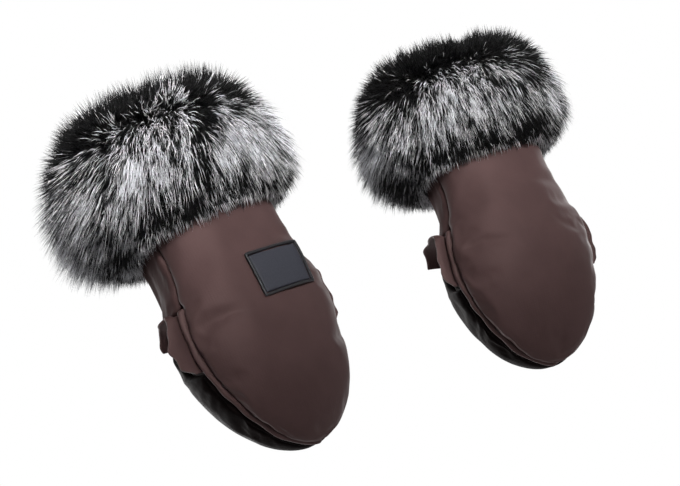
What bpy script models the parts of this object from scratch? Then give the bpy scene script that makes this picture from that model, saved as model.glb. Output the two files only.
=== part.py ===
# Pair of padded stroller hand muffs with long-pile cuffs.
# Metres, Z up. X runs across both muffs, the front panels face -Y, the cuffs point up.
# Each muff is drawn in its own axes: u across, v front to back, w up, with its side passages at zero.
import math

import bmesh
import bpy
from mathutils import Matrix, Vector

for old in list(bpy.data.objects):
    bpy.data.objects.remove(old, do_unlink=True)

# Driving sizes
BAR_D = 0.034
BAR_SLACK = 0.0045
SPACING = 0.265
TIP_DROP = 0.106
WRIST_TOP = 0.170
CUFF_LOW = 0.080
NECK_RISE = 0.064
HALF_W_BAR = 0.067
HALF_W_WRIST = 0.0545
FRONT_BAR = 0.022
FRONT_WRIST = 0.019
BACK_BAR = 0.070
BACK_WRIST = 0.062
SHELL_T = 0.0012
WAD_T = 0.006
LINING_T = 0.003
FACING_T = 0.0055
BINDING_T = 0.0042
RIM_EXTRA = 0.003
COLLAR_T = 0.0015
COLLAR_OUT = 0.013
COLLAR_OUT_FAR = 0.007
COLLAR_RISE = 0.003
STUD_D = 0.009
POST_D = 0.0042
POST_L = 0.003
BACKING_T = 0.0012
CUFF_LINING_T = 0.0015
CUFF_LINING_L = 0.055
PILE_MID = 0.040
PILE_LOW = 0.026
PILE_TOP = 0.027
FUR_CROWN = 0.024
PATCH_W = 0.050
PATCH_H = 0.037
PATCH_RIM = 0.003
PATCH_T = 0.0024
PATCH_FACE_T = 0.0014
PATCH_AT_U = 0.021
PATCH_AT_W = 0.0265
GAP = 0.0003

# Set of each muff: tilt, yaw, drop, then how far the wrist leans and which way
LEFT_TILT_DEG = 6.0
LEFT_YAW_DEG = 8.0
LEFT_LEAN_DEG = 4.0
LEFT_LEAN_TURN_DEG = 60.0
RIGHT_TILT_DEG = -8.0
RIGHT_YAW_DEG = -8.0
RIGHT_DROP = 0.002
RIGHT_LEAN_DEG = 8.0
RIGHT_LEAN_TURN_DEG = 75.0

# Shares and counts
ROUND_N = 2.3
TIP_POWER = 1.8
COLUMNS = 12
STUD_SIDES = 12
PATCH_STEPS = 8
STUD_AT_shares = (0.40, 0.68)
TIP_turn_shares = (0.33, 0.5, 0.67, 0.83, 1.0)
UPPER_shares = (0.28, 0.52, 0.76, 1.0)
COLLAR_TURNS_DEG = (90.0, 68.0, 45.0, 20.0)
COLLAR_FOOT_share = 0.8
COLLAR_ROUND_share = 0.28
COLLAR_TAPER_shares = (0.5, 0.55, 0.6, 0.7, 0.8, 0.85, 1.0, 0.95)

# Derived
HALF_GAP = GAP / 2
PASSAGE_R = BAR_D / 2 + BAR_SLACK + COLLAR_T + GAP
PARTING = -(BAR_D / 2 + BAR_SLACK + COLLAR_T) - HALF_GAP
FRONT_BASE = PARTING - HALF_GAP - FACING_T - GAP
BACK_BASE = PARTING + HALF_GAP + BINDING_T + GAP
FORK = PASSAGE_R + COLLAR_RISE
SHELL = (0.0, SHELL_T)
WADDING = (SHELL_T + GAP, SHELL_T + GAP + WAD_T)
LINING = (WADDING[1] + GAP, WADDING[1] + GAP + LINING_T)
RIM = (0.0, LINING[1] + GAP + RIM_EXTRA)
BACKING = (-GAP - BACKING_T, -GAP)
CUFF_LINING = (LINING[1] + GAP, LINING[1] + GAP + CUFF_LINING_T)
HOLE_R = STUD_D / 2 + GAP
POWER = 2 / ROUND_N


# Materials
def material(name, colour, rough, metal=0.0):
    mat = bpy.data.materials.new(name)
    mat.use_nodes = True
    shader = mat.node_tree.nodes["Principled BSDF"]
    shader.inputs["Base Color"].default_value = (*colour, 1.0)
    shader.inputs["Roughness"].default_value = rough
    shader.inputs["Metallic"].default_value = metal
    mat.diffuse_color = (*colour, 1.0)
    return mat


NYLON = material("brown_nylon", (0.095, 0.066, 0.062), 0.5)
BINDING = material("binding_tape", (0.070, 0.048, 0.045), 0.6)
WHITE = material("white_wadding", (0.78, 0.78, 0.76), 0.95)
FLEECE = material("dark_fleece", (0.045, 0.036, 0.034), 0.95)
KNIT = material("knit_backing", (0.030, 0.028, 0.028), 0.9)
FUR = material("frosted_fur", (0.16, 0.16, 0.17), 0.8)
STEEL = material("dark_steel", (0.25, 0.25, 0.26), 0.35, 1.0)
RUBBER = material("black_rubber", (0.012, 0.012, 0.013), 0.45)
SLATE = material("slate_rubber", (0.050, 0.052, 0.060), 0.55)


# Mesh helpers
def leaned(point, lean, toward):
    """Bends the muff above the fork: an even arc up to the cuff, then straight."""
    u, v, w = point
    length = CUFF_LOW - FORK
    along = min(w - FORK, length)
    if along <= 0:
        return Vector(point)
    radius = length / lean
    turn = along / radius
    rest = w - FORK - along
    across, back = -math.sin(toward), math.cos(toward)
    reach = u * across + v * back
    moved = radius * (1 - math.cos(turn)) + rest * math.sin(turn) + reach * math.cos(turn)
    height = FORK + radius * math.sin(turn) + rest * math.cos(turn) - reach * math.sin(turn)
    return Vector((u + (moved - reach) * across, v + (moved - reach) * back, height))


def finish(name, verts, faces, mat, home, smooth=True):
    mesh = bpy.data.meshes.new(name)
    offset = home["shift"]
    points = [leaned(p, home["lean"], home["toward"]) - offset for p in verts]
    mesh.from_pydata(points, [], faces)
    bm = bmesh.new()
    bm.from_mesh(mesh)
    bmesh.ops.remove_doubles(bm, verts=bm.verts, dist=GAP / 100)
    bmesh.ops.recalc_face_normals(bm, faces=bm.faces)
    bm.to_mesh(mesh)
    bm.free()
    mesh.materials.append(mat)
    obj = bpy.data.objects.new(name, mesh)
    bpy.context.scene.collection.objects.link(obj)
    obj.parent = home["empty"]
    if smooth:
        mesh.shade_smooth()
        mesh.set_sharp_from_angle(angle=math.radians(40))
    return obj


def plate(name, outer, inner, mat, home):
    """Closed plate between two equal grids of points."""
    rows, cols = len(outer), len(outer[0])
    verts = [p for row in outer for p in row] + [p for row in inner for p in row]
    shift = rows * cols
    faces = []
    for i in range(rows - 1):
        for j in range(cols - 1):
            a, b = i * cols + j, i * cols + j + 1
            c, d = b + cols, a + cols
            halves = [(a, b, c), (a, c, d)] if 2 * j + 1 < cols - 1 else [(a, b, d), (b, c, d)]
            for tri in halves:
                faces.append(list(tri))
                faces.append([k + shift for k in reversed(tri)])
    rim = [j for j in range(cols)]
    rim += [i * cols + cols - 1 for i in range(1, rows)]
    rim += [(rows - 1) * cols + j for j in range(cols - 2, -1, -1)]
    rim += [i * cols for i in range(rows - 2, 0, -1)]
    for k, a in enumerate(rim):
        b = rim[(k + 1) % len(rim)]
        faces.append([b, a, a + shift, b + shift])
    return finish(name, verts, faces, mat, home)


def ring_solid(name, loops, mat, home):
    """Closed ring whose section is the list of loops, each loop a full turn of points."""
    count, around = len(loops), len(loops[0])
    verts = [p for loop in loops for p in loop]
    faces = []
    for i in range(count):
        n = (i + 1) % count
        for j in range(around):
            k = (j + 1) % around
            faces.append([i * around + j, i * around + k, n * around + k, n * around + j])
    return finish(name, verts, faces, mat, home)


def lathe_v(name, centre, profile, mat, home):
    """Turned piece about an axis along v: the profile is a list of (v, radius)."""
    verts = []
    faces = []
    for v, radius in profile:
        for k in range(STUD_SIDES):
            turn = 2 * math.pi * k / STUD_SIDES
            verts.append((centre[0] + radius * math.cos(turn), v, centre[1] + radius * math.sin(turn)))
    for i in range(len(profile) - 1):
        for k in range(STUD_SIDES):
            n = (k + 1) % STUD_SIDES
            a, b = i * STUD_SIDES, (i + 1) * STUD_SIDES
            faces.append([a + k, a + n, b + n, b + k])
    faces.append(list(range(STUD_SIDES)))
    last = (len(profile) - 1) * STUD_SIDES
    faces.append([last + k for k in range(STUD_SIDES)])
    return finish(name, verts, faces, mat, home)


# Shape of a muff
def neck(w):
    x = min(max(w / NECK_RISE, 0.0), 1.0)
    return 1 - x * x * (3 - 2 * x)


def spans(row, depth):
    """Half width, front depth, back depth and height of a row, taken in by depth."""
    kind, value = row
    if kind == "tip":
        close = max(1 - value ** TIP_POWER, 0.0) ** (1 / TIP_POWER)
        full = max(1 - value * value, 0.0) ** 0.5
        return ((HALF_W_BAR - depth) * close, (FRONT_BAR - depth) * full,
                (BACK_BAR - depth) * full, -(TIP_DROP - depth) * value)
    k = neck(value)
    return (HALF_W_WRIST + (HALF_W_BAR - HALF_W_WRIST) * k - depth,
            FRONT_WRIST + (FRONT_BAR - FRONT_WRIST) * k - depth,
            BACK_WRIST + (BACK_BAR - BACK_WRIST) * k - depth, value)


def front_row(row, depth, edge=None):
    half, front, _, w = spans(row, depth)
    out = []
    for j in range(COLUMNS + 1):
        turn = math.pi * (j / COLUMNS - 0.5)
        u = half * math.copysign(abs(math.sin(turn)) ** POWER, turn)
        v = FRONT_BASE - front * max(math.cos(turn), 0.0) ** POWER
        if edge is not None and j in (0, COLUMNS):
            v = edge
        out.append((u, v, w))
    return out


def back_row(row, depth, edge=None):
    """Row of the back half. An edge behind the base shortens the row to that plane."""
    half, _, back, w = spans(row, depth)
    reach = math.pi / 2
    if edge is not None and edge > BACK_BASE:
        reach = math.acos(min(((edge - BACK_BASE) / back) ** (ROUND_N / 2), 1.0))
    out = []
    for j in range(COLUMNS + 1):
        turn = reach * (2 * j / COLUMNS - 1)
        u = half * math.copysign(abs(math.sin(turn)) ** POWER, turn)
        v = BACK_BASE + back * max(math.cos(turn), 0.0) ** POWER
        if edge is not None and edge < BACK_BASE and j in (0, COLUMNS):
            v = edge
        out.append((u, v, w))
    return out


def full_ring(w, depth):
    front = front_row(("up", w), depth, PARTING)
    back = back_row(("up", w), depth, PARTING)
    return front + back[-2:0:-1]


def side_at(v, w, depth):
    """Half width of the wall behind the parting plane at one point of the side."""
    half, _, back, _ = spans(("up", w) if w >= 0 else ("tip", -w / TIP_DROP), depth)
    share = min(max((v - BACK_BASE) / back, 0.0), 1.0)
    return half * (1 - share ** ROUND_N) ** (1 / ROUND_N)


# Rows of each panel, from the wrist down
UPPER = [("up", WRIST_TOP)] + [("up", FORK + GAP + (CUFF_LOW - FORK - GAP) * s)
                               for s in reversed(UPPER_shares)]
TIP_ROWS = [("tip", math.sin(s * math.pi / 2)) for s in TIP_turn_shares]
NOTCH_V = PARTING + HALF_GAP
SEAM_EDGE = PARTING - HALF_GAP
ARC = [(PASSAGE_R * math.cos(math.radians(t)), PASSAGE_R * math.sin(math.radians(t)))
       for t in COLLAR_TURNS_DEG]


def front_grid(depth):
    rows = [front_row(r, depth, SEAM_EDGE) for r in UPPER]
    rows.append(front_row(("up", FORK + GAP), depth, SEAM_EDGE))
    rows.append(front_row(("up", FORK), depth))
    rows.append(front_row(("up", FORK / 2), depth))
    rows.append(front_row(("up", 0.0), depth))
    return rows + [front_row(r, depth) for r in TIP_ROWS]


def palm_grid(depth):
    rows = [back_row(r, depth, NOTCH_V) for r in UPPER]
    rows.append(back_row(("up", FORK), depth, NOTCH_V))
    for v, w in ARC:
        rows.append(back_row(("up", w), depth, max(v, BACK_BASE + GAP)))
    return rows


def flap_grid(depth):
    top_v, top_w = ARC[-1]
    rows = [back_row(("up", top_w - GAP), depth, top_v)]
    rows.append(back_row(("up", 0.0), depth, PASSAGE_R))
    for v, w in reversed(ARC):
        rows.append(back_row(("tip", w / (TIP_DROP - depth)), depth, max(v, BACK_BASE + GAP)))
    rows.append(back_row(("tip", FORK / (TIP_DROP - depth)), depth))
    return rows + [back_row(r, depth) for r in TIP_ROWS]


# Flat rims of the opening, U-shaped, in a plane across v
def rim_band(name, v_front, v_back, top, mat, home):
    path = []
    rows = [("tip", s / TIP_DROP) for s in (-top,)] if top < 0 else [("up", top), ("up", 0.0)]
    rows += TIP_ROWS
    for side in (-1, 1):
        part = []
        for row in rows:
            o_half, _, _, o_w = spans(row, RIM[0])
            i_half, _, _, i_w = spans(row, RIM[1])
            if row[0] == "tip" and row is rows[0] and top < 0:
                i_half, _, _, i_w = spans(("tip", -top / (TIP_DROP - RIM[1])), RIM[1])
            part.append(((side * o_half, o_w), (side * i_half, i_w)))
        path += part if side < 0 else part[-2::-1]
    outer = [[(o[0], v, o[1]) for v in (v_front, v_back)] for o, i in path]
    inner = [[(i[0], v, i[1]) for v in (v_front, v_back)] for o, i in path]
    return plate(name, outer, inner, mat, home)


def rim_centre(side, share):
    value = share
    half, _, _, w = spans(("tip", value), RIM[1] / 2)
    return side * half, w


def bore(band, centre, home):
    cutter = bpy.data.meshes.new("cut")
    bm = bmesh.new()
    bmesh.ops.create_cone(bm, cap_ends=True, segments=STUD_SIDES, radius1=HOLE_R, radius2=HOLE_R,
                          depth=TIP_DROP)
    bm.to_mesh(cutter)
    bm.free()
    tool = bpy.data.objects.new(band.name + "_cut", cutter)
    bpy.context.scene.collection.objects.link(tool)
    tool.parent = home["empty"]
    tool.matrix_local = (Matrix.Translation(Vector((centre[0], PARTING, centre[1])) - home["shift"])
                         @ Matrix.Rotation(math.pi / 2, 4, "X"))
    tool.hide_render = True
    tool.display_type = "WIRE"
    cut = band.modifiers.new("stud_hole", "BOOLEAN")
    cut.operation = "DIFFERENCE"
    cut.solver = "EXACT"
    cut.object = tool


# Fabric collar round one side passage
def collar(name, side, home):
    full = COLLAR_OUT if side < 0 else COLLAR_OUT_FAR
    outside = [(v - GAP * v / PASSAGE_R, w - GAP * w / PASSAGE_R) for v, w in reversed(ARC)]
    inside = [(v - (GAP + COLLAR_T) * v / PASSAGE_R, w - (GAP + COLLAR_T) * w / PASSAGE_R)
              for v, w in reversed(ARC)]
    foot = -PASSAGE_R * COLLAR_FOOT_share
    bend = PASSAGE_R * COLLAR_ROUND_share
    top = PASSAGE_R + COLLAR_RISE * (NOTCH_V + bend) / NOTCH_V - GAP * 2
    outside += [(NOTCH_V + bend, top), (NOTCH_V, top - bend), (NOTCH_V, 0.0), (NOTCH_V, foot)]
    inside += [(NOTCH_V + bend + COLLAR_T / 2, top - COLLAR_T),
               (NOTCH_V + COLLAR_T, top - bend - COLLAR_T / 2),
               (NOTCH_V + COLLAR_T, 0.0), (NOTCH_V + COLLAR_T, foot)]
    grids = []
    for path in (outside, inside):
        grid = []
        for (v, w), (sv, sw), taper in zip(path, outside, COLLAR_TAPER_shares):
            wall = side_at(sv, sw, 0.0)
            reach = (LINING[1], 0.0, -full * taper / 2, -full * taper)
            grid.append([(side * (wall - d), v, w) for d in reach])
        grids.append(grid)
    return plate(name, grids[0], grids[1], BINDING, home)


# Long-pile cuff as one plain ring of the right outer shape
def cuff(name, home):
    low, top = CUFF_LOW, WRIST_TOP + GAP
    tall = top - low
    skin = BACKING[0] - GAP
    section = [(skin, low), (skin - PILE_LOW / 2, low - PILE_LOW / 4),
               (skin - PILE_LOW, low + tall / 16), (skin - PILE_MID, low + tall / 3),
               (skin - PILE_MID, low + tall * 2 / 3), (skin - PILE_TOP, top),
               (skin - PILE_TOP / 2, top + FUR_CROWN * 3 / 4), (WADDING[0], top + FUR_CROWN),
               (LINING[0], top + FUR_CROWN / 2), (LINING[0], top), (skin, top)]
    ring_solid(name, [full_ring_at(w, d) for d, w in section], FUR, home)


def full_ring_at(height, depth):
    """Ring at a height, shaped as the wall is at the wrist."""
    return [(u, v, height) for u, v, _ in full_ring(WRIST_TOP, depth)]


def tube(name, depths, low, top, mat, home):
    loops = []
    for d, w in ((depths[0], low), (depths[0], top), (depths[1], top), (depths[1], low)):
        loops.append(full_ring(w, d))
    ring_solid(name, loops, mat, home)


# Patch on the front panel
def front_point(u, w, lift):
    half, front, _, _ = spans(("up", w), 0.0)
    share = min(abs(u) / half, 1.0)
    v = FRONT_BASE - front * (1 - share ** ROUND_N) ** (1 / ROUND_N)
    slope = front * (share ** (ROUND_N - 1)) * (1 - share ** ROUND_N) ** (1 / ROUND_N - 1) / half
    normal = Vector((math.copysign(slope, u), -1.0, 0.0)).normalized()
    return Vector((u, v, w)) + normal * lift


def patch_frame(home):
    loops = []
    wide, high = PATCH_W / 2, PATCH_H / 2
    for inset, lift in ((0.0, GAP), (0.0, GAP + PATCH_T), (PATCH_RIM, GAP + PATCH_T), (PATCH_RIM, GAP)):
        half_w, half_h = wide - inset, high - inset
        corners = [(-half_w, -half_h), (half_w, -half_h), (half_w, half_h), (-half_w, half_h)]
        loop = []
        for k, (u0, w0) in enumerate(corners):
            u1, w1 = corners[(k + 1) % 4]
            for s in range(PATCH_STEPS):
                t = s / PATCH_STEPS
                loop.append(front_point(PATCH_AT_U + u0 + (u1 - u0) * t,
                                        PATCH_AT_W + w0 + (w1 - w0) * t, lift))
        loops.append(loop)
    ring_solid("patch_rim", loops, RUBBER, home)
    wide -= PATCH_RIM + GAP
    high -= PATCH_RIM + GAP
    grids = []
    for lift in (GAP + PATCH_FACE_T, GAP):
        grids.append([[front_point(PATCH_AT_U + wide * (2 * i / PATCH_STEPS - 1),
                                   PATCH_AT_W + high * (2 * j / PATCH_STEPS - 1), lift)
                       for i in range(PATCH_STEPS + 1)] for j in range(PATCH_STEPS + 1)])
    plate("patch_face", grids[0], grids[1], SLATE, home)


# One muff
def muff(prefix, at, turn, lean, toward):
    body = bpy.data.objects.new(prefix + "_muff", None)
    bpy.context.scene.collection.objects.link(body)
    body.location = at
    body.rotation_euler = turn
    hinge = bpy.data.objects.new(prefix + "_flap", None)
    bpy.context.scene.collection.objects.link(hinge)
    hinge.parent = body
    hinge.location = (0.0, PARTING, -TIP_DROP)
    fixed = {"empty": body, "shift": Vector((0.0, 0.0, 0.0)), "lean": lean, "toward": toward}
    moving = {"empty": hinge, "shift": Vector((0.0, PARTING, -TIP_DROP)), "lean": lean, "toward": toward}

    layers = (("shell", SHELL, NYLON), ("wadding", WADDING, WHITE), ("lining", LINING, FLEECE))
    for word, depth, mat in layers:
        plate(prefix + "_front_" + word, front_grid(depth[0]), front_grid(depth[1]), mat, fixed)
        plate(prefix + "_palm_" + word, palm_grid(depth[0]), palm_grid(depth[1]), mat, fixed)
        plate(prefix + "_flap_" + word, flap_grid(depth[0]), flap_grid(depth[1]), mat, moving)

    facing = rim_band(prefix + "_opening_facing", PARTING - HALF_GAP - FACING_T, PARTING - HALF_GAP,
                      FORK - GAP, BINDING, fixed)
    binding = rim_band(prefix + "_flap_binding", PARTING + HALF_GAP, PARTING + HALF_GAP + BINDING_T,
                       -FORK, BINDING, moving)
    outboard = -1 if prefix == "left" else 1
    collar(prefix + "_outboard_collar", outboard, fixed)
    collar(prefix + "_inboard_collar", -outboard, fixed)

    tube(prefix + "_cuff_backing", BACKING, CUFF_LOW, WRIST_TOP, KNIT, fixed)
    tube(prefix + "_cuff_lining", CUFF_LINING, WRIST_TOP - CUFF_LINING_L, WRIST_TOP, FLEECE, fixed)
    cuff(prefix + "_fur_cuff", fixed)

    number = 0
    for side in (-1, 1):
        for share in STUD_AT_shares:
            number += 1
            centre = rim_centre(side, share)
            bore(facing, centre, fixed)
            bore(binding, centre, moving)
            face = PARTING - HALF_GAP
            deep = face - POST_L - GAP
            radius, hole = STUD_D / 2, POST_D / 2 + GAP
            lathe_v("%s_socket_%d" % (prefix, number), centre,
                    [(face - FACING_T, radius), (face, radius), (face, hole), (deep, hole)], STEEL, fixed)
            face = PARTING + HALF_GAP
            tip = face - GAP - POST_L
            post = POST_D / 2
            lathe_v("%s_stud_%d" % (prefix, number), centre,
                    [(tip, post * 3 / 4), (tip + post / 2, post), (face, post), (face, radius),
                     (face + BINDING_T, radius)], STEEL, moving)
    return fixed


left = muff("left", (0.0, 0.0, 0.0), (0.0, -math.radians(LEFT_TILT_DEG), math.radians(LEFT_YAW_DEG)),
            math.radians(LEFT_LEAN_DEG), math.radians(LEFT_LEAN_TURN_DEG))
muff("right", (SPACING, 0.0, -RIGHT_DROP),
     (0.0, -math.radians(RIGHT_TILT_DEG), math.radians(RIGHT_YAW_DEG)),
     math.radians(RIGHT_LEAN_DEG), math.radians(RIGHT_LEAN_TURN_DEG))
patch_frame(left)
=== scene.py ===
# %% [markdown]
# # A pair of stroller hand muffs
# Two padded mittens hang side by side, and the hands slip in through their fur cuffs. Each has a
# front panel, a palm panel, a closing flap along the lower back, soft collars at its two side
# passages, and a deep cuff of long frosted pile.
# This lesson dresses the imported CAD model: sewn and padded nylon first, then rims, collars and
# patch, then the fur, which is most of the look.

# %% Load the fixed frame
import math

import bmesh
import bpy
import numpy as np
from mathutils import Euler, Matrix, Vector, noise


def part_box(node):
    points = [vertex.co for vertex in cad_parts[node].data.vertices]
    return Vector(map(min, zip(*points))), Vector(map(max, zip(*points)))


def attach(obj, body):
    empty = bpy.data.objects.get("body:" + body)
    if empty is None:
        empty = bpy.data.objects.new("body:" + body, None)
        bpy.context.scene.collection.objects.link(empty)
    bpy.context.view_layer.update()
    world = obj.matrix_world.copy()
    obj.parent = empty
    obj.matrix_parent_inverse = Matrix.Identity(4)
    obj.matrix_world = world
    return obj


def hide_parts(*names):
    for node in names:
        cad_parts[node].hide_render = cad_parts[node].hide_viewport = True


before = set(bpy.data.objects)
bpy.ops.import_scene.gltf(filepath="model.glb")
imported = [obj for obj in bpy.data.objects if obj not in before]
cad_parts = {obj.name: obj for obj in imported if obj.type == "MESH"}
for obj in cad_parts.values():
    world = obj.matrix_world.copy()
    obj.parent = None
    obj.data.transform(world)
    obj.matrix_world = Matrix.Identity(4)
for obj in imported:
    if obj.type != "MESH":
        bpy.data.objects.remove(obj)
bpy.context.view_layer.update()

# %% [markdown]
# ## Sizes
# The cloth has to lie where the CAD solids are. The solids follow a short rule: a row across the
# muff is a rounded oval, and the rows close into a dome at the fingertips. The frame doesn't carry
# that rule, so its few sizes are given again here, in metres, and every fine mesh is worked out
# from them. Copying points from the CAD meshes would be shorter, but their faces are too coarse.

# %% Sizes of the muffs
SPACING = 0.265  # from the left muff to the right one
TIP_DROP = 0.106  # fingertip below the passages
WRIST_TOP = 0.170  # mouth above the passages
CUFF_LOW = 0.080  # where the lean is complete
NECK_RISE = 0.064  # height over which the muff narrows to the wrist
HALF_W_BAR = 0.067  # half widths and depths, at the passages and at the wrist
HALF_W_WRIST = 0.0545
FRONT_BAR = 0.022
FRONT_WRIST = 0.019
BACK_BAR = 0.070
BACK_WRIST = 0.062
ROUND_N = 2.3  # how square the oval is: 2 is an ellipse
TIP_POWER = 1.8  # how full the fingertip is
GAP = 0.0003
PASSAGE_R = 0.0233
PARTING = -0.02315  # v where the front and the back half meet
FRONT_BASE = -0.0291
BACK_BASE = -0.0185
SEAM_FRONT = PARTING - GAP / 2
SEAM_BACK = PARTING + GAP / 2
FORK = 0.0263  # height where the seam opens round the passage
WADDING_IN = 0.0075
LINING_OUT = 0.0078
LINING_IN = 0.0108
FACING_T = 0.0055
BINDING_T = 0.0042
RIM_WIDTH = 0.0141
CUFF_LINING_OUT = 0.0111
CUFF_LINING_IN = 0.0126
CUFF_LINING_L = 0.055
FULLER = 0.0065  # extra stuffing of the left wrist
PATCH_W = 0.050
PATCH_H = 0.037
PATCH_AT_U = 0.018
PATCH_AT_W = 0.0252

SETS = {
    "left": {"at": (0.0, 0.0, 0.0), "tilt": 6.0, "yaw": 8.0, "lean": 4.0, "toward": 60.0,
             "near": -1},
    "right": {"at": (SPACING, 0.0, -0.002), "tilt": -8.0, "yaw": -8.0, "lean": 8.0,
              "toward": 75.0, "near": 1},
}
print("muff length without pile:", round(WRIST_TOP + TIP_DROP, 3), "m")

# %% [markdown]
# ## From a muff's own axes to the frame
# A muff is drawn in its own axes: u across, v from front to back and w up, with the passage axis
# at zero. Above the fork it leans over in an even arc, and then the whole muff is turned and put
# in its place. The left muff's wrist is stuffed a little fuller on its inner side than the CAD's
# even wall. NumPy does all this for every point of a mesh in one go, which keeps fine meshes quick.

# %% Lean and place
def smooth(low, high, x):
    """An even rise from 0 at low to 1 at high. It falls where low is the higher one."""
    t = np.clip((x - low) / (high - low), 0.0, 1.0)
    return t * t * (3 - 2 * t)


def leaned(points, lean, toward):
    """Bends the part above the fork over: an even arc up to the cuff, then straight."""
    length = CUFF_LOW - FORK
    radius = length / lean
    along = np.clip(points[..., 2] - FORK, 0.0, length)
    turn = along / radius
    rest = np.maximum(points[..., 2] - CUFF_LOW, 0.0)
    across, back = -math.sin(toward), math.cos(toward)
    reach = points[..., 0] * across + points[..., 1] * back
    moved = radius * (1 - np.cos(turn)) + rest * np.sin(turn) + reach * np.cos(turn)
    height = np.minimum(points[..., 2], FORK) + radius * np.sin(turn) + rest * np.cos(turn)
    height = height - reach * np.sin(turn)
    return np.stack([points[..., 0] + (moved - reach) * across,
                     points[..., 1] + (moved - reach) * back, height], -1)


def stuffed(points, side):
    """The left muff's wrist is stuffed a little fuller on its inner side."""
    if side == "right":
        return points
    u, _, w = np.moveaxis(points, -1, 0)
    fuller = FULLER * smooth(0.0, 0.05, u) * smooth(0.0, 0.045, w) * smooth(0.17, 0.10, w)
    return points + fuller[..., None] * np.array([1.0, 0.0, 0.0])


def placed(points, side):
    """The same points in the frame, for the left or the right muff."""
    muff = SETS[side]
    tilt, yaw = math.radians(muff["tilt"]), math.radians(muff["yaw"])
    turn = np.array(Euler((0.0, -tilt, yaw)).to_matrix())
    points = stuffed(np.asarray(points, float), side)
    bent = leaned(points, math.radians(muff["lean"]), math.radians(muff["toward"]))
    return bent @ turn.T + np.array(muff["at"])


# %% [markdown]
# ## The wall of a muff
# Each point of the wall is given by an angle across the panel and a height. Below the passages
# the height runs out in a dome. A plain grid of rows would end in a pole at the fingertip, where
# its faces pinch and the cloth simulation would crease, so the dome's grid is the patch of a
# sphere that blends its four edges, and the pole falls away.

# %% Wall points
ROW_SAMPLES = 721


def reaches(height, depth):
    """Half width, front and back depth, and true height of the wall taken in by depth."""
    k = 1 - smooth(0.0, NECK_RISE, height)
    share = np.clip(-height / TIP_DROP, 0.0, 1.0)
    close = (1 - share ** TIP_POWER) ** (1 / TIP_POWER)
    full = np.sqrt(1 - share * share)
    up = height >= 0
    half = np.where(up, HALF_W_WRIST + (HALF_W_BAR - HALF_W_WRIST) * k - depth,
                    (HALF_W_BAR - depth) * close)
    front = np.where(up, FRONT_WRIST + (FRONT_BAR - FRONT_WRIST) * k - depth,
                     (FRONT_BAR - depth) * full)
    back = np.where(up, BACK_WRIST + (BACK_BAR - BACK_WRIST) * k - depth, (BACK_BAR - depth) * full)
    return half, front, back, np.where(up, height, -(TIP_DROP - depth) * share)


def wall(face, way, height, depth):
    """Points of the wall. face is -1 for the front half and 1 for the back half."""
    half, front, back, w = reaches(height, depth)
    x, y = np.sin(way), np.maximum(np.cos(way), 0.0)
    size = (np.abs(x) ** ROUND_N + y ** ROUND_N) ** (1 / ROUND_N)
    v = FRONT_BASE - front * y / size if face < 0 else BACK_BASE + back * y / size
    return np.stack([half * x / size, v, np.broadcast_to(w, v.shape)], -1)


def even_ways(face, height, count):
    """Angles that cut one row of the wall into equal lengths."""
    ways = np.linspace(-math.pi / 2, math.pi / 2, ROW_SAMPLES)
    row = wall(face, ways, np.full(ROW_SAMPLES, height), 0.0)
    run = np.concatenate([[0.0], np.cumsum(np.linalg.norm(np.diff(row, axis=0), axis=1))])
    return np.interp(np.linspace(0.0, run[-1], count), run, ways)


def dome(ways, start, rows):
    """Angles and heights of a grid over the dome, from the height share start to the fingertip."""
    corner = math.pi / 4
    s = np.linspace(-1.0, 1.0, len(ways))[None, :, None]
    t = np.linspace(0.0, 1.0, rows + 1)[1:, None, None]
    flat = math.sqrt(1 - start * start)
    top = np.stack([flat * np.sin(ways), flat * np.cos(ways), np.full(len(ways), start)], -1)[None]
    turn = corner * s[0, :, 0]
    foot = np.stack([np.sin(turn), np.zeros(len(ways)), np.cos(turn)], -1)[None]
    rise = math.asin(start)
    side = rise + (math.pi / 2 - corner - rise) * t[:, 0, 0]
    right = np.stack([np.cos(side), np.zeros(rows), np.sin(side)], -1)[:, None]
    left = right * np.array([-1.0, 1.0, 1.0])
    p, q = (1 - s) / 2, (1 + s) / 2
    ends = (1 - t) * (p * top[:, :1] + q * top[:, -1:]) + t * (p * foot[:, :1] + q * foot[:, -1:])
    ball = (1 - t) * top + t * foot + p * left + q * right - ends
    ball /= np.linalg.norm(ball, axis=-1, keepdims=True)
    return np.arctan2(ball[..., 0], np.maximum(ball[..., 1], 0.0)), -TIP_DROP * ball[..., 2]


# %% [markdown]
# ## The grids of the three sewn panels
# The front panel runs from the wrist to the fingertip. The palm panel ends at the passages, whose
# round cut takes the ends off its last rows, and the flap closes what is left below it.

# %% Panel grids
PITCH = 0.0034
FRONT_COLUMNS, BACK_COLUMNS = 49, 61
FRONT_TIP_ROWS, FLAP_TIP_ROWS = 30, 26
SPLIT = PASSAGE_R * math.sin(math.radians(20))  # height where the flap meets the palm


def rows_between(high, low):
    count = max(int(round((high - low) / PITCH)), 1)
    return np.linspace(high, low, count, endpoint=False)


def seam_at(height):
    """How far back the edge of the back half lies at a height: the seam, then the round passage."""
    ends = np.where(height > 0, SEAM_BACK, BACK_BASE)
    slope = ends * np.clip((np.abs(height) - PASSAGE_R) / (FORK - PASSAGE_R), 0.0, 1.0)
    ring = np.sqrt(np.maximum(PASSAGE_R ** 2 - height ** 2, 0.0))
    return np.where(np.abs(height) < PASSAGE_R, ring, slope)


def front_grid():
    columns = even_ways(-1, 0.0, FRONT_COLUMNS)
    high = rows_between(WRIST_TOP, 0.0)
    ways, heights = np.meshgrid(columns, high)
    low_ways, low_heights = dome(columns, 0.0, FRONT_TIP_ROWS)
    middle = np.zeros((1, len(columns)))
    return (np.concatenate([ways, columns[None], low_ways]),
            np.concatenate([heights, middle, low_heights]))


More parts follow.
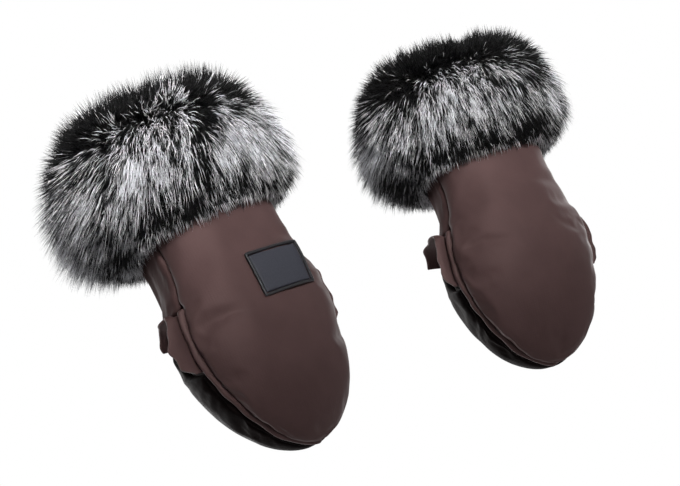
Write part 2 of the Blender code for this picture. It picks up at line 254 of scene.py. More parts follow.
def cut_row(columns, height):
    """Angles of a back row whose ends are taken off by the passage."""
    _, _, back, _ = reaches(np.array([height]), 0.0)
    edge = seam_at(np.array([height]))[0]
    share = min(max((edge - BACK_BASE) / back[0], 0.0), 1.0)
    end = math.atan2((1 - share ** ROUND_N) ** (1 / ROUND_N), share)
    return columns * end / (math.pi / 2)


def palm_grid():
    columns = even_ways(1, 0.05, BACK_COLUMNS)
    heights = np.concatenate([rows_between(WRIST_TOP, FORK), rows_between(FORK, PASSAGE_R),
                              rows_between(PASSAGE_R, SPLIT), [SPLIT]])
    ways = np.stack([cut_row(columns, h) for h in heights])
    return ways, np.repeat(heights[:, None], len(columns), 1)


def flap_grid():
    columns = even_ways(1, 0.05, BACK_COLUMNS)
    heights = np.concatenate([rows_between(SPLIT - GAP, -PASSAGE_R),
                              rows_between(-PASSAGE_R, -FORK), [-FORK]])
    ways = np.stack([cut_row(columns, h) for h in heights])
    low_ways, low_heights = dome(columns, FORK / TIP_DROP, FLAP_TIP_ROWS)
    high = np.repeat(heights[:, None], len(columns), 1)
    return np.concatenate([ways, low_ways]), np.concatenate([high, low_heights])


def drawn_back(face, points, ways, heights):
    """Draws the edge of a panel above the fork to the seam, which lies off the wall's own plane."""
    if face < 0:
        reach = (SEAM_FRONT - FRONT_BASE) * smooth(FORK, FORK + 0.006, heights)
    else:
        reach = np.minimum(seam_at(heights) - BACK_BASE, 0.0) * (heights > -FORK)
    pull = smooth(math.radians(58), math.pi / 2, np.abs(ways))
    points = points.copy()
    points[..., 1] += reach * pull
    return points


print("panel grids:", [g()[0].shape for g in (front_grid, palm_grid, flap_grid)])

# %% [markdown]
# ## Puffed cloth
# A sewn pad is flat cloth held down along its seams and pushed out by the wadding between them.
# Sculpting each pucker by hand would be slow and would look drawn, so Blender's Cloth does it: the
# cells along the seams are held, the cloth is given a little spare length, and a light pressure
# fills it. The same cap holds every point close to the wall, so the panel keeps the CAD's size.

# %% Mesh helpers
def shown(name, data):
    """A new object with this data, in the scene."""
    obj = bpy.data.objects.new(name, data)
    bpy.context.scene.collection.objects.link(obj)
    return obj


def mesh_object(name, points, faces, uvs=None):
    mesh = bpy.data.meshes.new(name)
    mesh.from_pydata([tuple(p) for p in points], [], faces)
    if uvs is not None:
        layer = mesh.uv_layers.new(name="cloth")
        corners = np.array([v for f in faces for v in f])
        layer.data.foreach_set("uv", np.asarray(uvs, float)[corners].ravel())
    return shown(name, mesh)


def quads(rows, cols, wrap=False):
    """Cells of a grid of points. With wrap, its columns run all the way round."""
    turns = cols if wrap else cols - 1
    return [[i * cols + j, (i + 1) * cols + j, (i + 1) * cols + (j + 1) % cols,
             i * cols + (j + 1) % cols] for i in range(rows - 1) for j in range(turns)]


def ring_quads(rows, cols, closed=False):
    """Cells of stacked rings of points. With closed, the last ring joins the first one."""
    return [[i * cols + j, i * cols + (j + 1) % cols, (i + 1) % rows * cols + (j + 1) % cols,
             (i + 1) % rows * cols + j] for i in range(rows if closed else rows - 1)
            for j in range(cols)]


def normals_of(grid):
    down = np.gradient(grid, axis=0)
    across = np.gradient(grid, axis=1)
    n = np.cross(down, across)
    return n / np.maximum(np.linalg.norm(n, axis=-1, keepdims=True), 1e-12)


def run_of(grid):
    """Lengths along a grid in metres, which serve as its cloth map."""
    across = np.linalg.norm(np.diff(grid, axis=1), axis=-1)
    down = np.linalg.norm(np.diff(grid, axis=0), axis=-1)
    u = np.concatenate([np.zeros((len(grid), 1)), np.cumsum(across, 1)], 1)
    v = np.concatenate([np.zeros((1, grid.shape[1])), np.cumsum(down, 0)], 0)
    return np.stack([u - u[:, -1:] / 2, v], -1)


# %% Puff a cloth
CLOTH_FRAMES = 20
CLOTH_PRESSURE = 4.0


def add_cloth(obj, slack):
    """Cloth on the object: a light pressure, no gravity and slack as its share of spare length."""
    cloth = obj.modifiers.new("cloth", "CLOTH")
    s = cloth.settings
    s.quality = 6
    s.vertex_group_mass = "held"
    s.shrink_min = -slack
    s.use_pressure = True
    s.uniform_pressure_force = CLOTH_PRESSURE
    s.effector_weights.gravity = 0.0
    s.bending_stiffness = 0.5
    cloth.collision_settings.use_collision = False
    cloth.point_cache.frame_start, cloth.point_cache.frame_end = 1, CLOTH_FRAMES


def puffed(grid, held, slack, cap):
    """The grid after a short cloth simulation with its held cells fixed."""
    rows, cols = grid.shape[:2]
    obj = mesh_object("cloth_trial", grid.reshape(-1, 3), quads(rows, cols))
    group = obj.vertex_groups.new(name="held")
    for k in np.flatnonzero(held.ravel() > 0):
        group.add([int(k)], float(held.ravel()[k]), "REPLACE")
    add_cloth(obj, slack)
    scene = bpy.context.scene
    for step in range(1, CLOTH_FRAMES + 1):
        scene.frame_set(step)
    shape = obj.evaluated_get(bpy.context.evaluated_depsgraph_get()).data
    points = np.empty(len(shape.vertices) * 3)
    shape.vertices.foreach_get("co", points)
    bpy.data.objects.remove(obj, do_unlink=True)
    scene.frame_set(1)
    moved = points.reshape(grid.shape) - grid
    size = np.linalg.norm(moved, axis=-1, keepdims=True)
    print("cloth moved up to", round(float(size.max()) * 1000, 1), "mm")
    return grid + moved * (cap * np.tanh(size / cap) / np.maximum(size, 1e-9))


# %% Close and finish a mesh
def noise_at(points, scale, seed=0.0):
    """Smooth noise from -1 to 1 at each point, its waves about 1/scale long."""
    shift = Vector((seed, -seed, 2 * seed))
    flat = [noise.noise(Vector(p) * scale + shift) for p in points.reshape(-1, 3)]
    return np.array(flat).reshape(points.shape[:-1])


def settled(obj):
    """Puts what the object's modifiers make into its own mesh, and takes them off."""
    seen = obj.evaluated_get(bpy.context.evaluated_depsgraph_get())
    mesh = bpy.data.meshes.new_from_object(seen)
    obj.modifiers.clear()
    obj.data = mesh
    mesh.name = obj.name


def finished(obj, material, levels=1):
    """Closes a mesh up, points its faces out, subdivides it for good and gives it its material."""
    bm = bmesh.new()
    bm.from_mesh(obj.data)
    bmesh.ops.remove_doubles(bm, verts=bm.verts, dist=2e-6)
    bmesh.ops.recalc_face_normals(bm, faces=bm.faces)
    bm.to_mesh(obj.data)
    bm.free()
    if levels:
        rounder = obj.modifiers.new("rounder", "SUBSURF")
        rounder.levels = rounder.render_levels = levels
        rounder.uv_smooth = "PRESERVE_BOUNDARIES"
        settled(obj)
    obj.data.materials.clear()
    obj.data.materials.append(material)
    obj.data.shade_smooth()
    return obj


def slab(name, outer, inner, material, levels=1, wrap=False):
    """Closed piece between two equal grids. With wrap, its columns run all the way round."""
    rows, cols = outer.shape[:2]
    points = np.concatenate([outer.reshape(-1, 3), inner.reshape(-1, 3)])
    across = run_of(outer).reshape(-1, 2)
    cells = quads(rows, cols, wrap)
    shift = rows * cols
    faces = cells + [[k + shift for k in reversed(f)] for f in cells]
    top = list(range(cols))
    low = [(rows - 1) * cols + j for j in reversed(range(cols))]
    if wrap:
        rims = [top, low]
    else:
        right = [i * cols + cols - 1 for i in range(1, rows - 1)]
        left = [i * cols for i in range(rows - 2, 0, -1)]
        rims = [top + right + low + left]
    for loop in rims:
        for a, b in zip(loop, loop[1:] + loop[:1]):
            faces.append([a, b, b + shift, a + shift])
    obj = mesh_object(name, points, faces, np.concatenate([across, across]))
    return finished(obj, material, levels)


# %% [markdown]
# ## Materials
# All finishes are built from nodes. The nylon is a fine satin weave, so its colour is a mix of two
# near browns, its gloss varies in the same soft clouds, and its weave is a bump in the cloth's own
# map, which follows every panel. An image texture would need a file, and a flat colour would look
# like plastic. The palm panel has the same cloth with less gloss, because it is mostly seen along
# its surface, where gloss would turn it white. The flap and its binding get a near-black satin.
# This is painted shade: the deep shade under the muff is painted into their colour.

# %% Node helpers
def new_material(name):
    mat = bpy.data.materials.new(name)
    mat.use_nodes = True
    tree = mat.node_tree
    return mat, tree, tree.nodes["Principled BSDF"]


def node(tree, kind, **values):
    made = tree.nodes.new("ShaderNode" + kind)
    for key, value in values.items():
        if key in made.inputs:
            made.inputs[key].default_value = value
        else:
            setattr(made, key, value)
    return made


def settings(shader, **values):
    """Sets constants on the shader's own sockets, spaces written as underscores."""
    for key, value in values.items():
        shader.inputs[key.replace("_", " ")].default_value = value


def object_place(tree):
    return node(tree, "TexCoord").outputs["Object"]


def scaled(tree, source, scale):
    """A Mapping node that scales a coordinate output."""
    place = node(tree, "Mapping")
    place.inputs["Scale"].default_value = scale
    tree.links.new(source, place.inputs["Vector"])
    return place.outputs["Vector"]


def noise_node(tree, vector, scale, detail=3.0):
    made = node(tree, "TexNoise", Scale=scale, Detail=detail)
    tree.links.new(vector, made.inputs["Vector"])
    return made.outputs["Fac"]


def ramp(tree, value, stops):
    """A colour ramp through (place, colour) stops."""
    made = node(tree, "ValToRGB")
    while len(made.color_ramp.elements) < len(stops):
        made.color_ramp.elements.new(0.5)
    for element, (place, colour) in zip(made.color_ramp.elements, stops):
        element.position = place
        element.color = (*colour, 1.0)
    tree.links.new(value, made.inputs["Fac"])
    return made.outputs["Color"]


def maths(tree, kind, a, b):
    """A Math node on two values, each an output or a number."""
    made = node(tree, "Math", operation=kind)
    for socket, value in zip(made.inputs, (a, b)):
        if isinstance(value, (int, float)):
            socket.default_value = value
        else:
            tree.links.new(value, socket)
    return made.outputs[0]


def blend(tree, a, b, share):
    """share of the value a and the rest of b."""
    return maths(tree, "ADD", maths(tree, "MULTIPLY", a, share),
                 maths(tree, "MULTIPLY", b, round(1 - share, 3)))


def bump(tree, shader, height, distance, strength=1.0, before=None):
    made = node(tree, "Bump", Distance=distance, Strength=strength)
    tree.links.new(height, made.inputs["Height"])
    if before is not None:
        tree.links.new(before, made.inputs["Normal"])
    tree.links.new(made.outputs["Normal"], shader.inputs["Normal"])
    return made.outputs["Normal"]


# %% Nylon and satin
WAVES_PER_UNIT = 20


def woven(name, dark, light, rough, gloss, thread, lift, folds=0.35, tint=(0.80, 0.55, 0.52)):
    """Woven cloth: two near colours in soft clouds, threads in the cloth map and fine creases."""
    mat, tree, shader = new_material(name)
    where = object_place(tree)
    cloth = node(tree, "UVMap", uv_map="cloth").outputs["UV"]
    clouds = noise_node(tree, where, 38.0, 4.0)
    grain = noise_node(tree, cloth, 900.0, 2.0)
    colour = ramp(tree, blend(tree, clouds, grain, 0.75), [(0.35, dark), (0.65, light)])
    tree.links.new(colour, shader.inputs["Base Color"])
    warp, weft = (node(tree, "TexWave", Scale=1.0 / thread / WAVES_PER_UNIT, bands_direction=way)
                  for way in "XY")
    for threads_one_way in (warp, weft):
        tree.links.new(cloth, threads_one_way.inputs["Vector"])
    threads = maths(tree, "MULTIPLY", warp.outputs["Fac"], weft.outputs["Fac"])
    crease = noise_node(tree, scaled(tree, where, (1.0, 1.0, 0.6)), 120.0, 2.0)
    creased = bump(tree, shader, crease, 0.0006, folds)
    bump(tree, shader, threads, lift, 0.5, creased)
    patchy = ramp(tree, clouds, [(0.3, (rough - 0.05,) * 3), (0.7, (rough + 0.05,) * 3)])
    tree.links.new(patchy, shader.inputs["Roughness"])
    settings(shader, Specular_IOR_Level=gloss, Specular_Tint=(*tint, 1.0))
    print(name)
    return mat


NYLON = woven("brown_nylon_satin", (0.059, 0.0345, 0.0335), (0.073, 0.0430, 0.0420),
              rough=0.50, gloss=0.13, thread=0.00035, lift=0.00004)
BINDING = woven("brown_nylon_binding", (0.055, 0.0325, 0.0315), (0.073, 0.0430, 0.0420),
                rough=0.50, gloss=0.18, thread=0.0004, lift=0.00005)
PALM = woven("brown_nylon_palm", (0.056, 0.0330, 0.0320), (0.071, 0.0420, 0.0410),
             rough=0.68, gloss=0.03, thread=0.00035, lift=0.00004)
# Painted shade: the flap and its binding are near-black because the shade under the muff is painted
# into the satin's colour.
SHADED_FLAP_SATIN = woven("flap_satin_painted_shade", (0.005, 0.0036, 0.0035), (0.010, 0.0068, 0.0066),
             rough=0.50, gloss=0.01, thread=0.0004, lift=0.00004, folds=0.9,
             tint=(0.60, 0.50, 0.48))

# %% [markdown]
# ## Fleece, rubber and steel
# The lining is a curly fleece, which has two sizes of curls and a soft sheen but hardly any gloss.
# The patch is moulded rubber with a fine grain, and the studs are dark steel, whose streaks come
# from noise stretched along one axis. All three could be scanned, but each is a few nodes.

# %% Fleece, rubber and steel
def fleece(name, dark, light):
    mat, tree, shader = new_material(name)
    where = object_place(tree)
    curls = noise_node(tree, where, 420.0)
    clumps = noise_node(tree, where, 90.0)
    both = blend(tree, curls, clumps, 0.6)
    tree.links.new(ramp(tree, both, [(0.36, dark), (0.62, light)]), shader.inputs["Base Color"])
    bump(tree, shader, both, 0.0012, 0.7)
    settings(shader, Roughness=0.95, Sheen_Weight=0.35, Specular_IOR_Level=0.1)
    return mat


def moulded(name, dark, light, rough, grain, gloss):
    mat, tree, shader = new_material(name)
    fine = noise_node(tree, object_place(tree), grain)
    tree.links.new(ramp(tree, fine, [(0.35, dark), (0.65, light)]), shader.inputs["Base Color"])
    bump(tree, shader, fine, 0.00006, 0.6)
    settings(shader, Roughness=rough, Specular_IOR_Level=gloss)
    return mat


def brushed(name, colour):
    mat, tree, shader = new_material(name)
    streaks = noise_node(tree, scaled(tree, object_place(tree), (1.0, 8.0, 1.0)), 700.0, 2.0)
    dark = tuple(c * 0.8 for c in colour)
    tree.links.new(ramp(tree, streaks, [(0.3, dark), (0.7, colour)]), shader.inputs["Base Color"])
    settings(shader, Metallic=1.0, Roughness=0.32)
    return mat


FLEECE = fleece("dark_fleece_lining", (0.030, 0.023, 0.022), (0.070, 0.056, 0.053))
RIM_RUBBER = moulded("black_rubber_rim", (0.006, 0.006, 0.007), (0.010, 0.010, 0.012),
                     rough=0.42, grain=1400.0, gloss=0.25)
FACE_RUBBER = moulded("slate_rubber_face", (0.029, 0.030, 0.038), (0.036, 0.037, 0.047),
                      rough=0.60, grain=900.0, gloss=0.12)
STEEL = brushed("dark_snap_steel", (0.30, 0.29, 0.29))
print("materials:", len(bpy.data.materials))

# %% [markdown]
# ## Padded panels
# The nylon and the wadding behind it are one piece here, because a maker quilts them as one and
# only the nylon shows. The outer side is the simulated cloth, turned in at its seams, and the
# inner side stays on the wall, a hair off the lining.

# %% Seams and gathers
ROLL = 0.0028
ROLL_CELLS = 0.9
DEEPEST_GATHERS_AT = 0.11


def on_wall(face, ways, heights, depth):
    """Points of a panel on the wall, its upper edge drawn back to the seam."""
    return drawn_back(face, wall(face, ways, heights, depth), ways, heights)


def turned_in(shape, free_top):
    """How deep each cell of an outer grid lies: the cloth rolls in along the seams."""
    rows, cols = shape
    to_side = np.minimum(np.arange(cols), np.arange(cols)[::-1])[None, :]
    to_tip = np.arange(rows)[::-1][:, None]
    near = np.minimum(to_side, to_tip)
    if not free_top:
        near = np.minimum(near, to_tip[::-1])
    return ROLL * np.exp(-(near / ROLL_CELLS) ** 1.4)


def held_cells(grid):
    held = np.zeros(grid.shape[:2])
    held[0] = held[-1] = held[:, 0] = held[:, -1] = 1.0
    return held


def puckers(grid, seed, left, right, pitch=95.0, reach=0.014):
    """Small gathers that start at the side seams, each as deep as given, and fade inwards."""
    run = run_of(grid)
    near = np.abs(run[:, :1, 0]) - np.abs(run[..., 0])
    place = [np.sign(run[..., 0]) * 3, run[..., 1] * pitch, np.zeros(run.shape[:2])]
    wave = noise_at(np.stack(place, -1), 1.0, seed)
    wave = wave * (0.6 + 0.9 * np.exp(-((run[..., 1] - DEEPEST_GATHERS_AT) / 0.045) ** 2))
    return np.where(run[..., 0] < 0, left, right) * wave * np.exp(-np.maximum(near, 0) / reach)


# %% Sew the panels
PANELS = {
    "front": {"face": -1, "grid": front_grid, "body": "muff", "cloth": NYLON, "free_top": True,
              "slack": 0.018, "cap": 0.0055, "seed": {"left": 1.7, "right": 5.1},
              "gathers": (0.0005, 0.0020)},
    "palm": {"face": 1, "grid": palm_grid, "body": "muff", "cloth": PALM, "free_top": True,
             "slack": 0.020, "cap": 0.005, "seed": {"left": 2.9, "right": 6.3},
             "gathers": (0.0014, 0.0014)},
    # The flap's near-black satin is painted shade.
    "flap": {"face": 1, "grid": flap_grid, "body": "flap", "cloth": SHADED_FLAP_SATIN, "free_top": False,
             "slack": 0.015, "cap": 0.004, "seed": {"left": 3.3, "right": 7.7},
             "gathers": (0.0016, 0.0016, 170.0, 0.022)},
}


def sewn_panel(side, word):
    panel = PANELS[word]
    face, seed = panel["face"], panel["seed"][side]
    ways, heights = panel["grid"]()
    depth = turned_in(ways.shape, panel["free_top"])
    grid = placed(on_wall(face, ways, heights, depth), side)
    held = held_cells(grid)
    way_out = normals_of(grid)
    if way_out[len(grid) // 2, grid.shape[1] // 2][1] * face < 0:
        way_out = -way_out
    swell = puckers(grid, seed, *panel["gathers"]) + 0.0005 * noise_at(grid, 24.0, seed)
    grid = grid + way_out * swell[..., None] * (1 - held)[..., None]
    cloth = puffed(grid, held, panel["slack"], panel["cap"])
    inner = placed(on_wall(face, ways, heights, WADDING_IN), side)
    piece = slab(f"{side}_{word}_panel", cloth, inner, panel["cloth"])
    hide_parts(f"{side}_{word}_shell", f"{side}_{word}_wadding")
    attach(piece, f"{side}_{panel['body']}")
    print(piece.name, len(piece.data.polygons), "faces")


for side in SETS:
    for word in PANELS:
        sewn_panel(side, word)

# %% [markdown]
# ## Linings
# Dark fleece shows through the wrist and when the flap is open. It is thin and lies against the
# wadding, so a plain slab on the wall is enough, with a nap that stands up a little unevenly.
# Each lining is a sheet of cloth sewn down along its edges, and the size that it was cut to is
# measured on the wall that it lies on.

# %% Linings
NAP = 0.0005
NAP_ROOM = 0.0004


def napped(grid, seed):
    """The grid with small uneven lumps along its normals, as a fleece has."""
    return grid + normals_of(grid) * (noise_at(grid, 210.0, seed) * NAP)[..., None]


def declare_cloth(piece, grid):
    """Measures the cut size of a piece of cloth, its grid's unrolled size, and prints it. The rows
    run across it.
    """
    along = np.linalg.norm(np.diff(grid, axis=0), axis=-1).sum(0).max()
    across = np.linalg.norm(np.diff(grid, axis=1), axis=-1).sum(1).max()
    one, other = grid[1:, 1:] - grid[:-1, :-1], grid[1:, :-1] - grid[:-1, 1:]
    area = np.linalg.norm(np.cross(one, other), axis=-1).sum() / 2
    area = min(float(area), float(across * along))
    print(f"{piece.name}: cut {across * 1000:.0f} x {along * 1000:.0f} mm, {area * 1e4:.0f} cm2")


def lining(side, word, seed):
    face = PANELS[word]["face"]
    ways, heights = PANELS[word]["grid"]()
    keep = list(range(0, len(ways), 2))
    if len(ways) % 2 == 0:
        keep.append(len(ways) - 1)
    ways, heights = ways[keep], heights[keep]
    outer = placed(on_wall(face, ways, heights, LINING_OUT), side)
    inner = placed(on_wall(face, ways, heights, LINING_IN - NAP_ROOM), side)
    piece = slab(f"{side}_{word}_fleece", outer, napped(inner, seed), FLEECE, 0)
    declare_cloth(piece, outer)
    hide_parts(f"{side}_{word}_lining")
    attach(piece, f"{side}_{PANELS[word]['body']}")


for side in SETS:
    for word, seed in (("front", 1.0), ("palm", 2.0), ("flap", 3.0)):
        lining(side, word, seed)

# %% [markdown]
# ## Band in the mouth
# The mouth of the muff is faced with a band of the same fleece, turned down inside the wrist. It
# is a ring of even points on the wrist's wall, stacked row by row, and closed like a tube.

# %% Band in the mouth
RING_HALF = 120
BAND_ROWS, BAND_COLUMNS = 18, 96


def ring_points(depth, height, count):
    """Evenly spaced points all round the wrist's wall, from the middle of the back."""
    ways = np.linspace(-math.pi / 2, math.pi / 2, 2 * RING_HALF + 1)
    full = np.full(len(ways), WRIST_TOP)
    front = wall(-1, ways, full, depth)
    back = wall(1, ways, full, depth)
    loop = np.concatenate([back[RING_HALF:], front[::-1], back[:RING_HALF + 1]])
    run = np.concatenate([[0.0], np.cumsum(np.linalg.norm(np.diff(loop, axis=0), axis=1))])
    at = np.linspace(0.0, run[-1], count, endpoint=False)
    points = np.stack([np.interp(at, run, loop[:, k]) for k in range(3)], -1)
    points[:, 2] = height
    return points


def wrist_rings(side, places, count):
    """Rings of points round the wrist, one for each (depth, height)."""
    return placed(np.stack([ring_points(depth, height, count) for depth, height in places]), side)


for side in SETS:
    heights = np.linspace(WRIST_TOP, WRIST_TOP - CUFF_LINING_L, BAND_ROWS)
    outer, inner = (wrist_rings(side, [(depth, h) for h in heights], BAND_COLUMNS)
                    for depth in (CUFF_LINING_OUT, CUFF_LINING_IN + NAP_ROOM))
    band = slab(f"{side}_mouth_band", outer, napped(inner, 4.0), FLEECE, 1, wrap=True)
    closed = np.concatenate([outer, outer[:, :1]], axis=1)
    declare_cloth(band, closed)
    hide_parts(f"{side}_cuff_lining")
    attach(band, f"{side}_muff")

# %% [markdown]
# ## Rims of the opening
# Along the lower edge the front panel ends in a padded facing and the flap in a narrower bound
# rim, and press studs join the two. Each rim is one rounded section led along the muff's outline.
# The studs' places are bored with a Boolean, as the CAD solids are, so that the metal sits in
# real holes.

# %% Lead a section along the outline
SIDE_SAMPLES, TIP_SAMPLES = 40, 400


def outline(start, count):
    """Even steps along the muff's edge, down one side, round the fingertip and up the other."""
    low = -TIP_DROP * np.sin(np.linspace(0.0, math.pi / 2, TIP_SAMPLES))
    if start > 0:
        high = np.linspace(start, 0.0, SIDE_SAMPLES, endpoint=False)
        heights = np.concatenate([high, low])
    else:
        heights = low[low <= start]
    half = reaches(heights, 0.0)[0]
    run = np.concatenate([[0.0], np.cumsum(np.hypot(np.diff(half), np.diff(heights)))])
    even = np.interp(np.linspace(0.0, run[-1], count), run, heights)
    sides = np.concatenate([np.full(count, -1.0), np.full(count - 1, 1.0)])
    return sides, np.concatenate([even, even[-2::-1]])


def led(side, sides, heights, section, swell):
    """Loops of the (depth, v, swelling) section along the outline, swollen by each share."""
    loops = []
    for depth, v, out in section:
        half, _, _, w = reaches(heights, depth - out * swell)
        loops.append(np.stack([sides * half, np.full(len(half), v), w], -1))
    return placed(np.stack(loops, 1), side)


def closed_run(name, loops, material):
    """Closed tube whose section runs along the second axis."""
    rows, cols = loops.shape[:2]
    faces = ring_quads(rows, cols)
    faces += [list(range(cols)), [(rows - 1) * cols + j for j in reversed(range(cols))]]
    around = np.linalg.norm(np.diff(loops, axis=1), axis=-1).mean(0).cumsum()
    down = np.linalg.norm(np.diff(loops[:, 0], axis=0), axis=-1).cumsum()
    u, v = (np.concatenate([[0.0], run]) for run in (around, down))
    uvs = np.stack(np.meshgrid(u, v), -1).reshape(-1, 2)
    return finished(mesh_object(name, loops.reshape(-1, 3), faces, uvs), material)


# %% Rims and their stud holes
RIM_SOFT = 0.0016
RIM_STEPS = 70
STUDS_PER_RIM = 4
DRILL_R = 0.00445
DRILL_L = 0.03
RIMS = {
    "opening_facing": {"start": FORK - GAP, "front": SEAM_FRONT - FACING_T, "back": SEAM_FRONT,
                       "body": "muff", "cloth": BINDING, "metal": "socket", "seed": 8.0},
    # The flap's binding takes the same near-black satin, which is painted shade.
    "flap_binding": {"start": -FORK, "front": SEAM_BACK, "back": SEAM_BACK + BINDING_T,
                     "body": "flap", "cloth": SHADED_FLAP_SATIN, "metal": "stud", "seed": 4.0},
}


def rim_section(front, back):
    """Rounded section of a padded rim: (depth, v, share of the swelling)."""
    soft, wide, mid = RIM_SOFT, RIM_WIDTH, (front + back) / 2
    return [(0.0002, mid, 1.0), (0.0004, back - soft, 0.8), (soft, back - 0.0002, 0.4),
            (0.0036, back - 0.0008, 0.0), (0.0050, back - 0.0003, 0.0),
            (wide * 0.65, back - 0.0003, 0.0), (wide - 0.0012, back - 0.0004, 0.0),
            (wide, mid, 0.0), (wide - 0.0012, front + 0.0004, 0.0),
            (wide * 0.5, front + 0.0003, 0.0), (soft, front + 0.0002, 0.4),
            (0.0004, front + soft, 0.8)]


def through(side):
    """The way from a muff's front to its back, in the frame."""
    ends = placed(np.array([[0.0, 0.0, 0.0], [0.0, 1.0, 0.0]]), side)
    return Vector(ends[1] - ends[0])


def bored(piece, side, word):
    """Takes the stud holes out of a rim, where the CAD's own metal parts stand."""
    spin = through(side).to_track_quat("Z", "Y").to_matrix().to_4x4()
    for k in range(1, STUDS_PER_RIM + 1):
        low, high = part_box(f"{side}_{word}_{k}")
        centre = (Vector(low) + Vector(high)) / 2
        drill = bpy.data.meshes.new("drill")
        bm = bmesh.new()
        bmesh.ops.create_cone(bm, cap_ends=True, segments=32, radius1=DRILL_R, radius2=DRILL_R,
                              depth=DRILL_L)
        bmesh.ops.transform(bm, matrix=Matrix.Translation(centre) @ spin, verts=bm.verts)
        bm.to_mesh(drill)
        bm.free()
        tool = shown("drill", drill)
        hole = piece.modifiers.new("hole", "BOOLEAN")
        hole.operation, hole.solver, hole.object = "DIFFERENCE", "EXACT", tool
        settled(piece)
        bpy.data.objects.remove(tool, do_unlink=True)


for side in SETS:
    for word, rim in RIMS.items():
        sides, heights = outline(rim["start"], RIM_STEPS)
        place = np.stack([sides, heights * 60, np.zeros(len(heights))], -1)
        swell = 0.0010 + 0.0022 * noise_at(place, 1.3, rim["seed"])
        loops = led(side, sides, heights, rim_section(rim["front"], rim["back"]), swell)
        piece = closed_run(f"{side}_{word}_rim", loops, rim["cloth"])
        bored(piece, side, rim["metal"])
        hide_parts(f"{side}_{word}")
        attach(piece, f"{side}_{rim['body']}")
        print(piece.name, len(piece.data.polygons), "faces")

# %% [markdown]
# ## Studs
# The sockets and studs are turned metal, which the CAD already gives in full. A finer mesh would
# show nothing more at their size, so the CAD's own nodes stay and only take the steel.

# %% Studs
for name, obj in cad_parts.items():
    if "_stud_" in name or "_socket_" in name:
        for slot in obj.material_slots:
            slot.material = STEEL
print("studs and sockets:", sum("_stud_" in n or "_socket_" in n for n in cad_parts))

# %% [markdown]
# ## Collars
# At each side passage a doubled strip of nylon stands out from the wall. It is soft, so its free
# edge rolls and waves, and the left muff's outer collar is cut deeper below than above. It could
# be draped by simulation, but it is narrow and stitched along one side, so waves that grow towards
# the free edge give the same look with full control.

# %% The collars' path
def along_curve(points, count):
    """Points evenly spaced on the smooth curve through the given ones."""
    p = np.array([points[0]] + list(points) + [points[-1]], float)
    fine = []
    for a, b, c, d in zip(p, p[1:], p[2:], p[3:]):
        for t in np.linspace(0, 1, 12, endpoint=False):
            fine.append(0.5 * (2 * b + (c - a) * t + (2 * a - 5 * b + 4 * c - d) * t ** 2
                               + (3 * b - a - 3 * c + d) * t ** 3))
    fine = np.array(fine + [p[-2]])
    run = np.concatenate([[0.0], np.cumsum(np.linalg.norm(np.diff(fine, axis=0), axis=1))])
    at = np.linspace(0.0, run[-1], count)
    return np.stack([np.interp(at, run, fine[:, k]) for k in range(fine.shape[1])], -1)


def side_wall(v, w):
    """Half width of the wall at one point of the side behind the parting."""
    half, _, back, _ = reaches(np.asarray(w, float), 0.0)
    share = np.clip((v - BACK_BASE) / back, 0.0, 1.0)
    return half * (1 - share ** ROUND_N) ** (1 / ROUND_N)


COLLAR_PATH = [(PASSAGE_R * math.cos(math.radians(t)), PASSAGE_R * math.sin(math.radians(t)))
               for t in (20, 45, 68, 90)]
COLLAR_PATH += [(-0.0165, 0.0245), (-0.0222, 0.0180), (-0.0224, 0.0), (-0.0224, -0.0240)]
COLLAR_REACH = {"left": (0.0045, 0.0050, 0.0055, 0.0065, 0.0085, 0.0105, 0.0150, 0.0145),
                "right": (0.0110, 0.0115, 0.0120, 0.0115, 0.0110, 0.0105, 0.0105, 0.0100),
                "hidden": (0.0035, 0.0040, 0.0045, 0.0050, 0.0060, 0.0065, 0.0075, 0.0070)}
print("collar path:", len(COLLAR_PATH), "points, from the palm round the front of the passage")

# %% Collars
COLLAR_T = 0.0015
COLLAR_COLUMNS = 64
COLLAR_STEPS = (-0.0108, -0.005, 0.0, 0.15, 0.3, 0.45, 0.6, 0.75, 0.88, 0.96, 1.0)


def collar(name, side, sign, seed):
    """Doubled strip on a muff's -u or +u side. Steps below 0 are the seam allowance, in metres."""
    reaches_out = COLLAR_REACH[side if sign < 0 else "hidden"]
    path = along_curve([(*p, r) for p, r in zip(COLLAR_PATH, reaches_out)], COLLAR_COLUMNS)
    v, w, full = path.T
    tangent = np.gradient(path[:, :2], axis=0)
    out_way = np.stack([tangent[:, 1], -tangent[:, 0]], -1)
    out_way /= np.linalg.norm(out_way, axis=-1, keepdims=True)
    if (out_way * path[:, :2]).sum() < 0:
        out_way = -out_way
    run = np.linspace(0.0, 1.0, len(path))
    place = np.stack([run * 4.2, np.zeros(len(run)), np.zeros(len(run))], -1)
    wave = 0.5 + 0.5 * noise_at(place, 1.0, seed)
    lip = 0.0038 * noise_at(place * 2.0, 1.0, seed + 3)
    foot = 0.45 + 0.55 * smooth(1.0, 0.93, run)
    grids = [[], []]
    for step in COLLAR_STEPS:
        reach = step if step < 0 else step * (full + lip * step) * foot
        grow = max(step, 0.0)
        bulge = math.sin(math.pi * grow)
        lift = 0.0034 * wave * grow ** 1.3 + 0.0012 * bulge
        thin = (COLLAR_T + 0.0009 * bulge ** 0.5) * (0.55 if step >= 1.0 else 1.0)
        for grid, inward in zip(grids, (0.0, thin)):
            off = out_way * (lift - inward)[:, None]
            grid.append(np.stack([sign * (side_wall(v, w) + reach), v + off[:, 0],
                                  w + off[:, 1]], -1))
    outer, inner = (placed(np.stack(grid, 1), side) for grid in grids)
    strip = slab(name, outer, inner, BINDING)
    declare_cloth(strip, outer)
    return strip


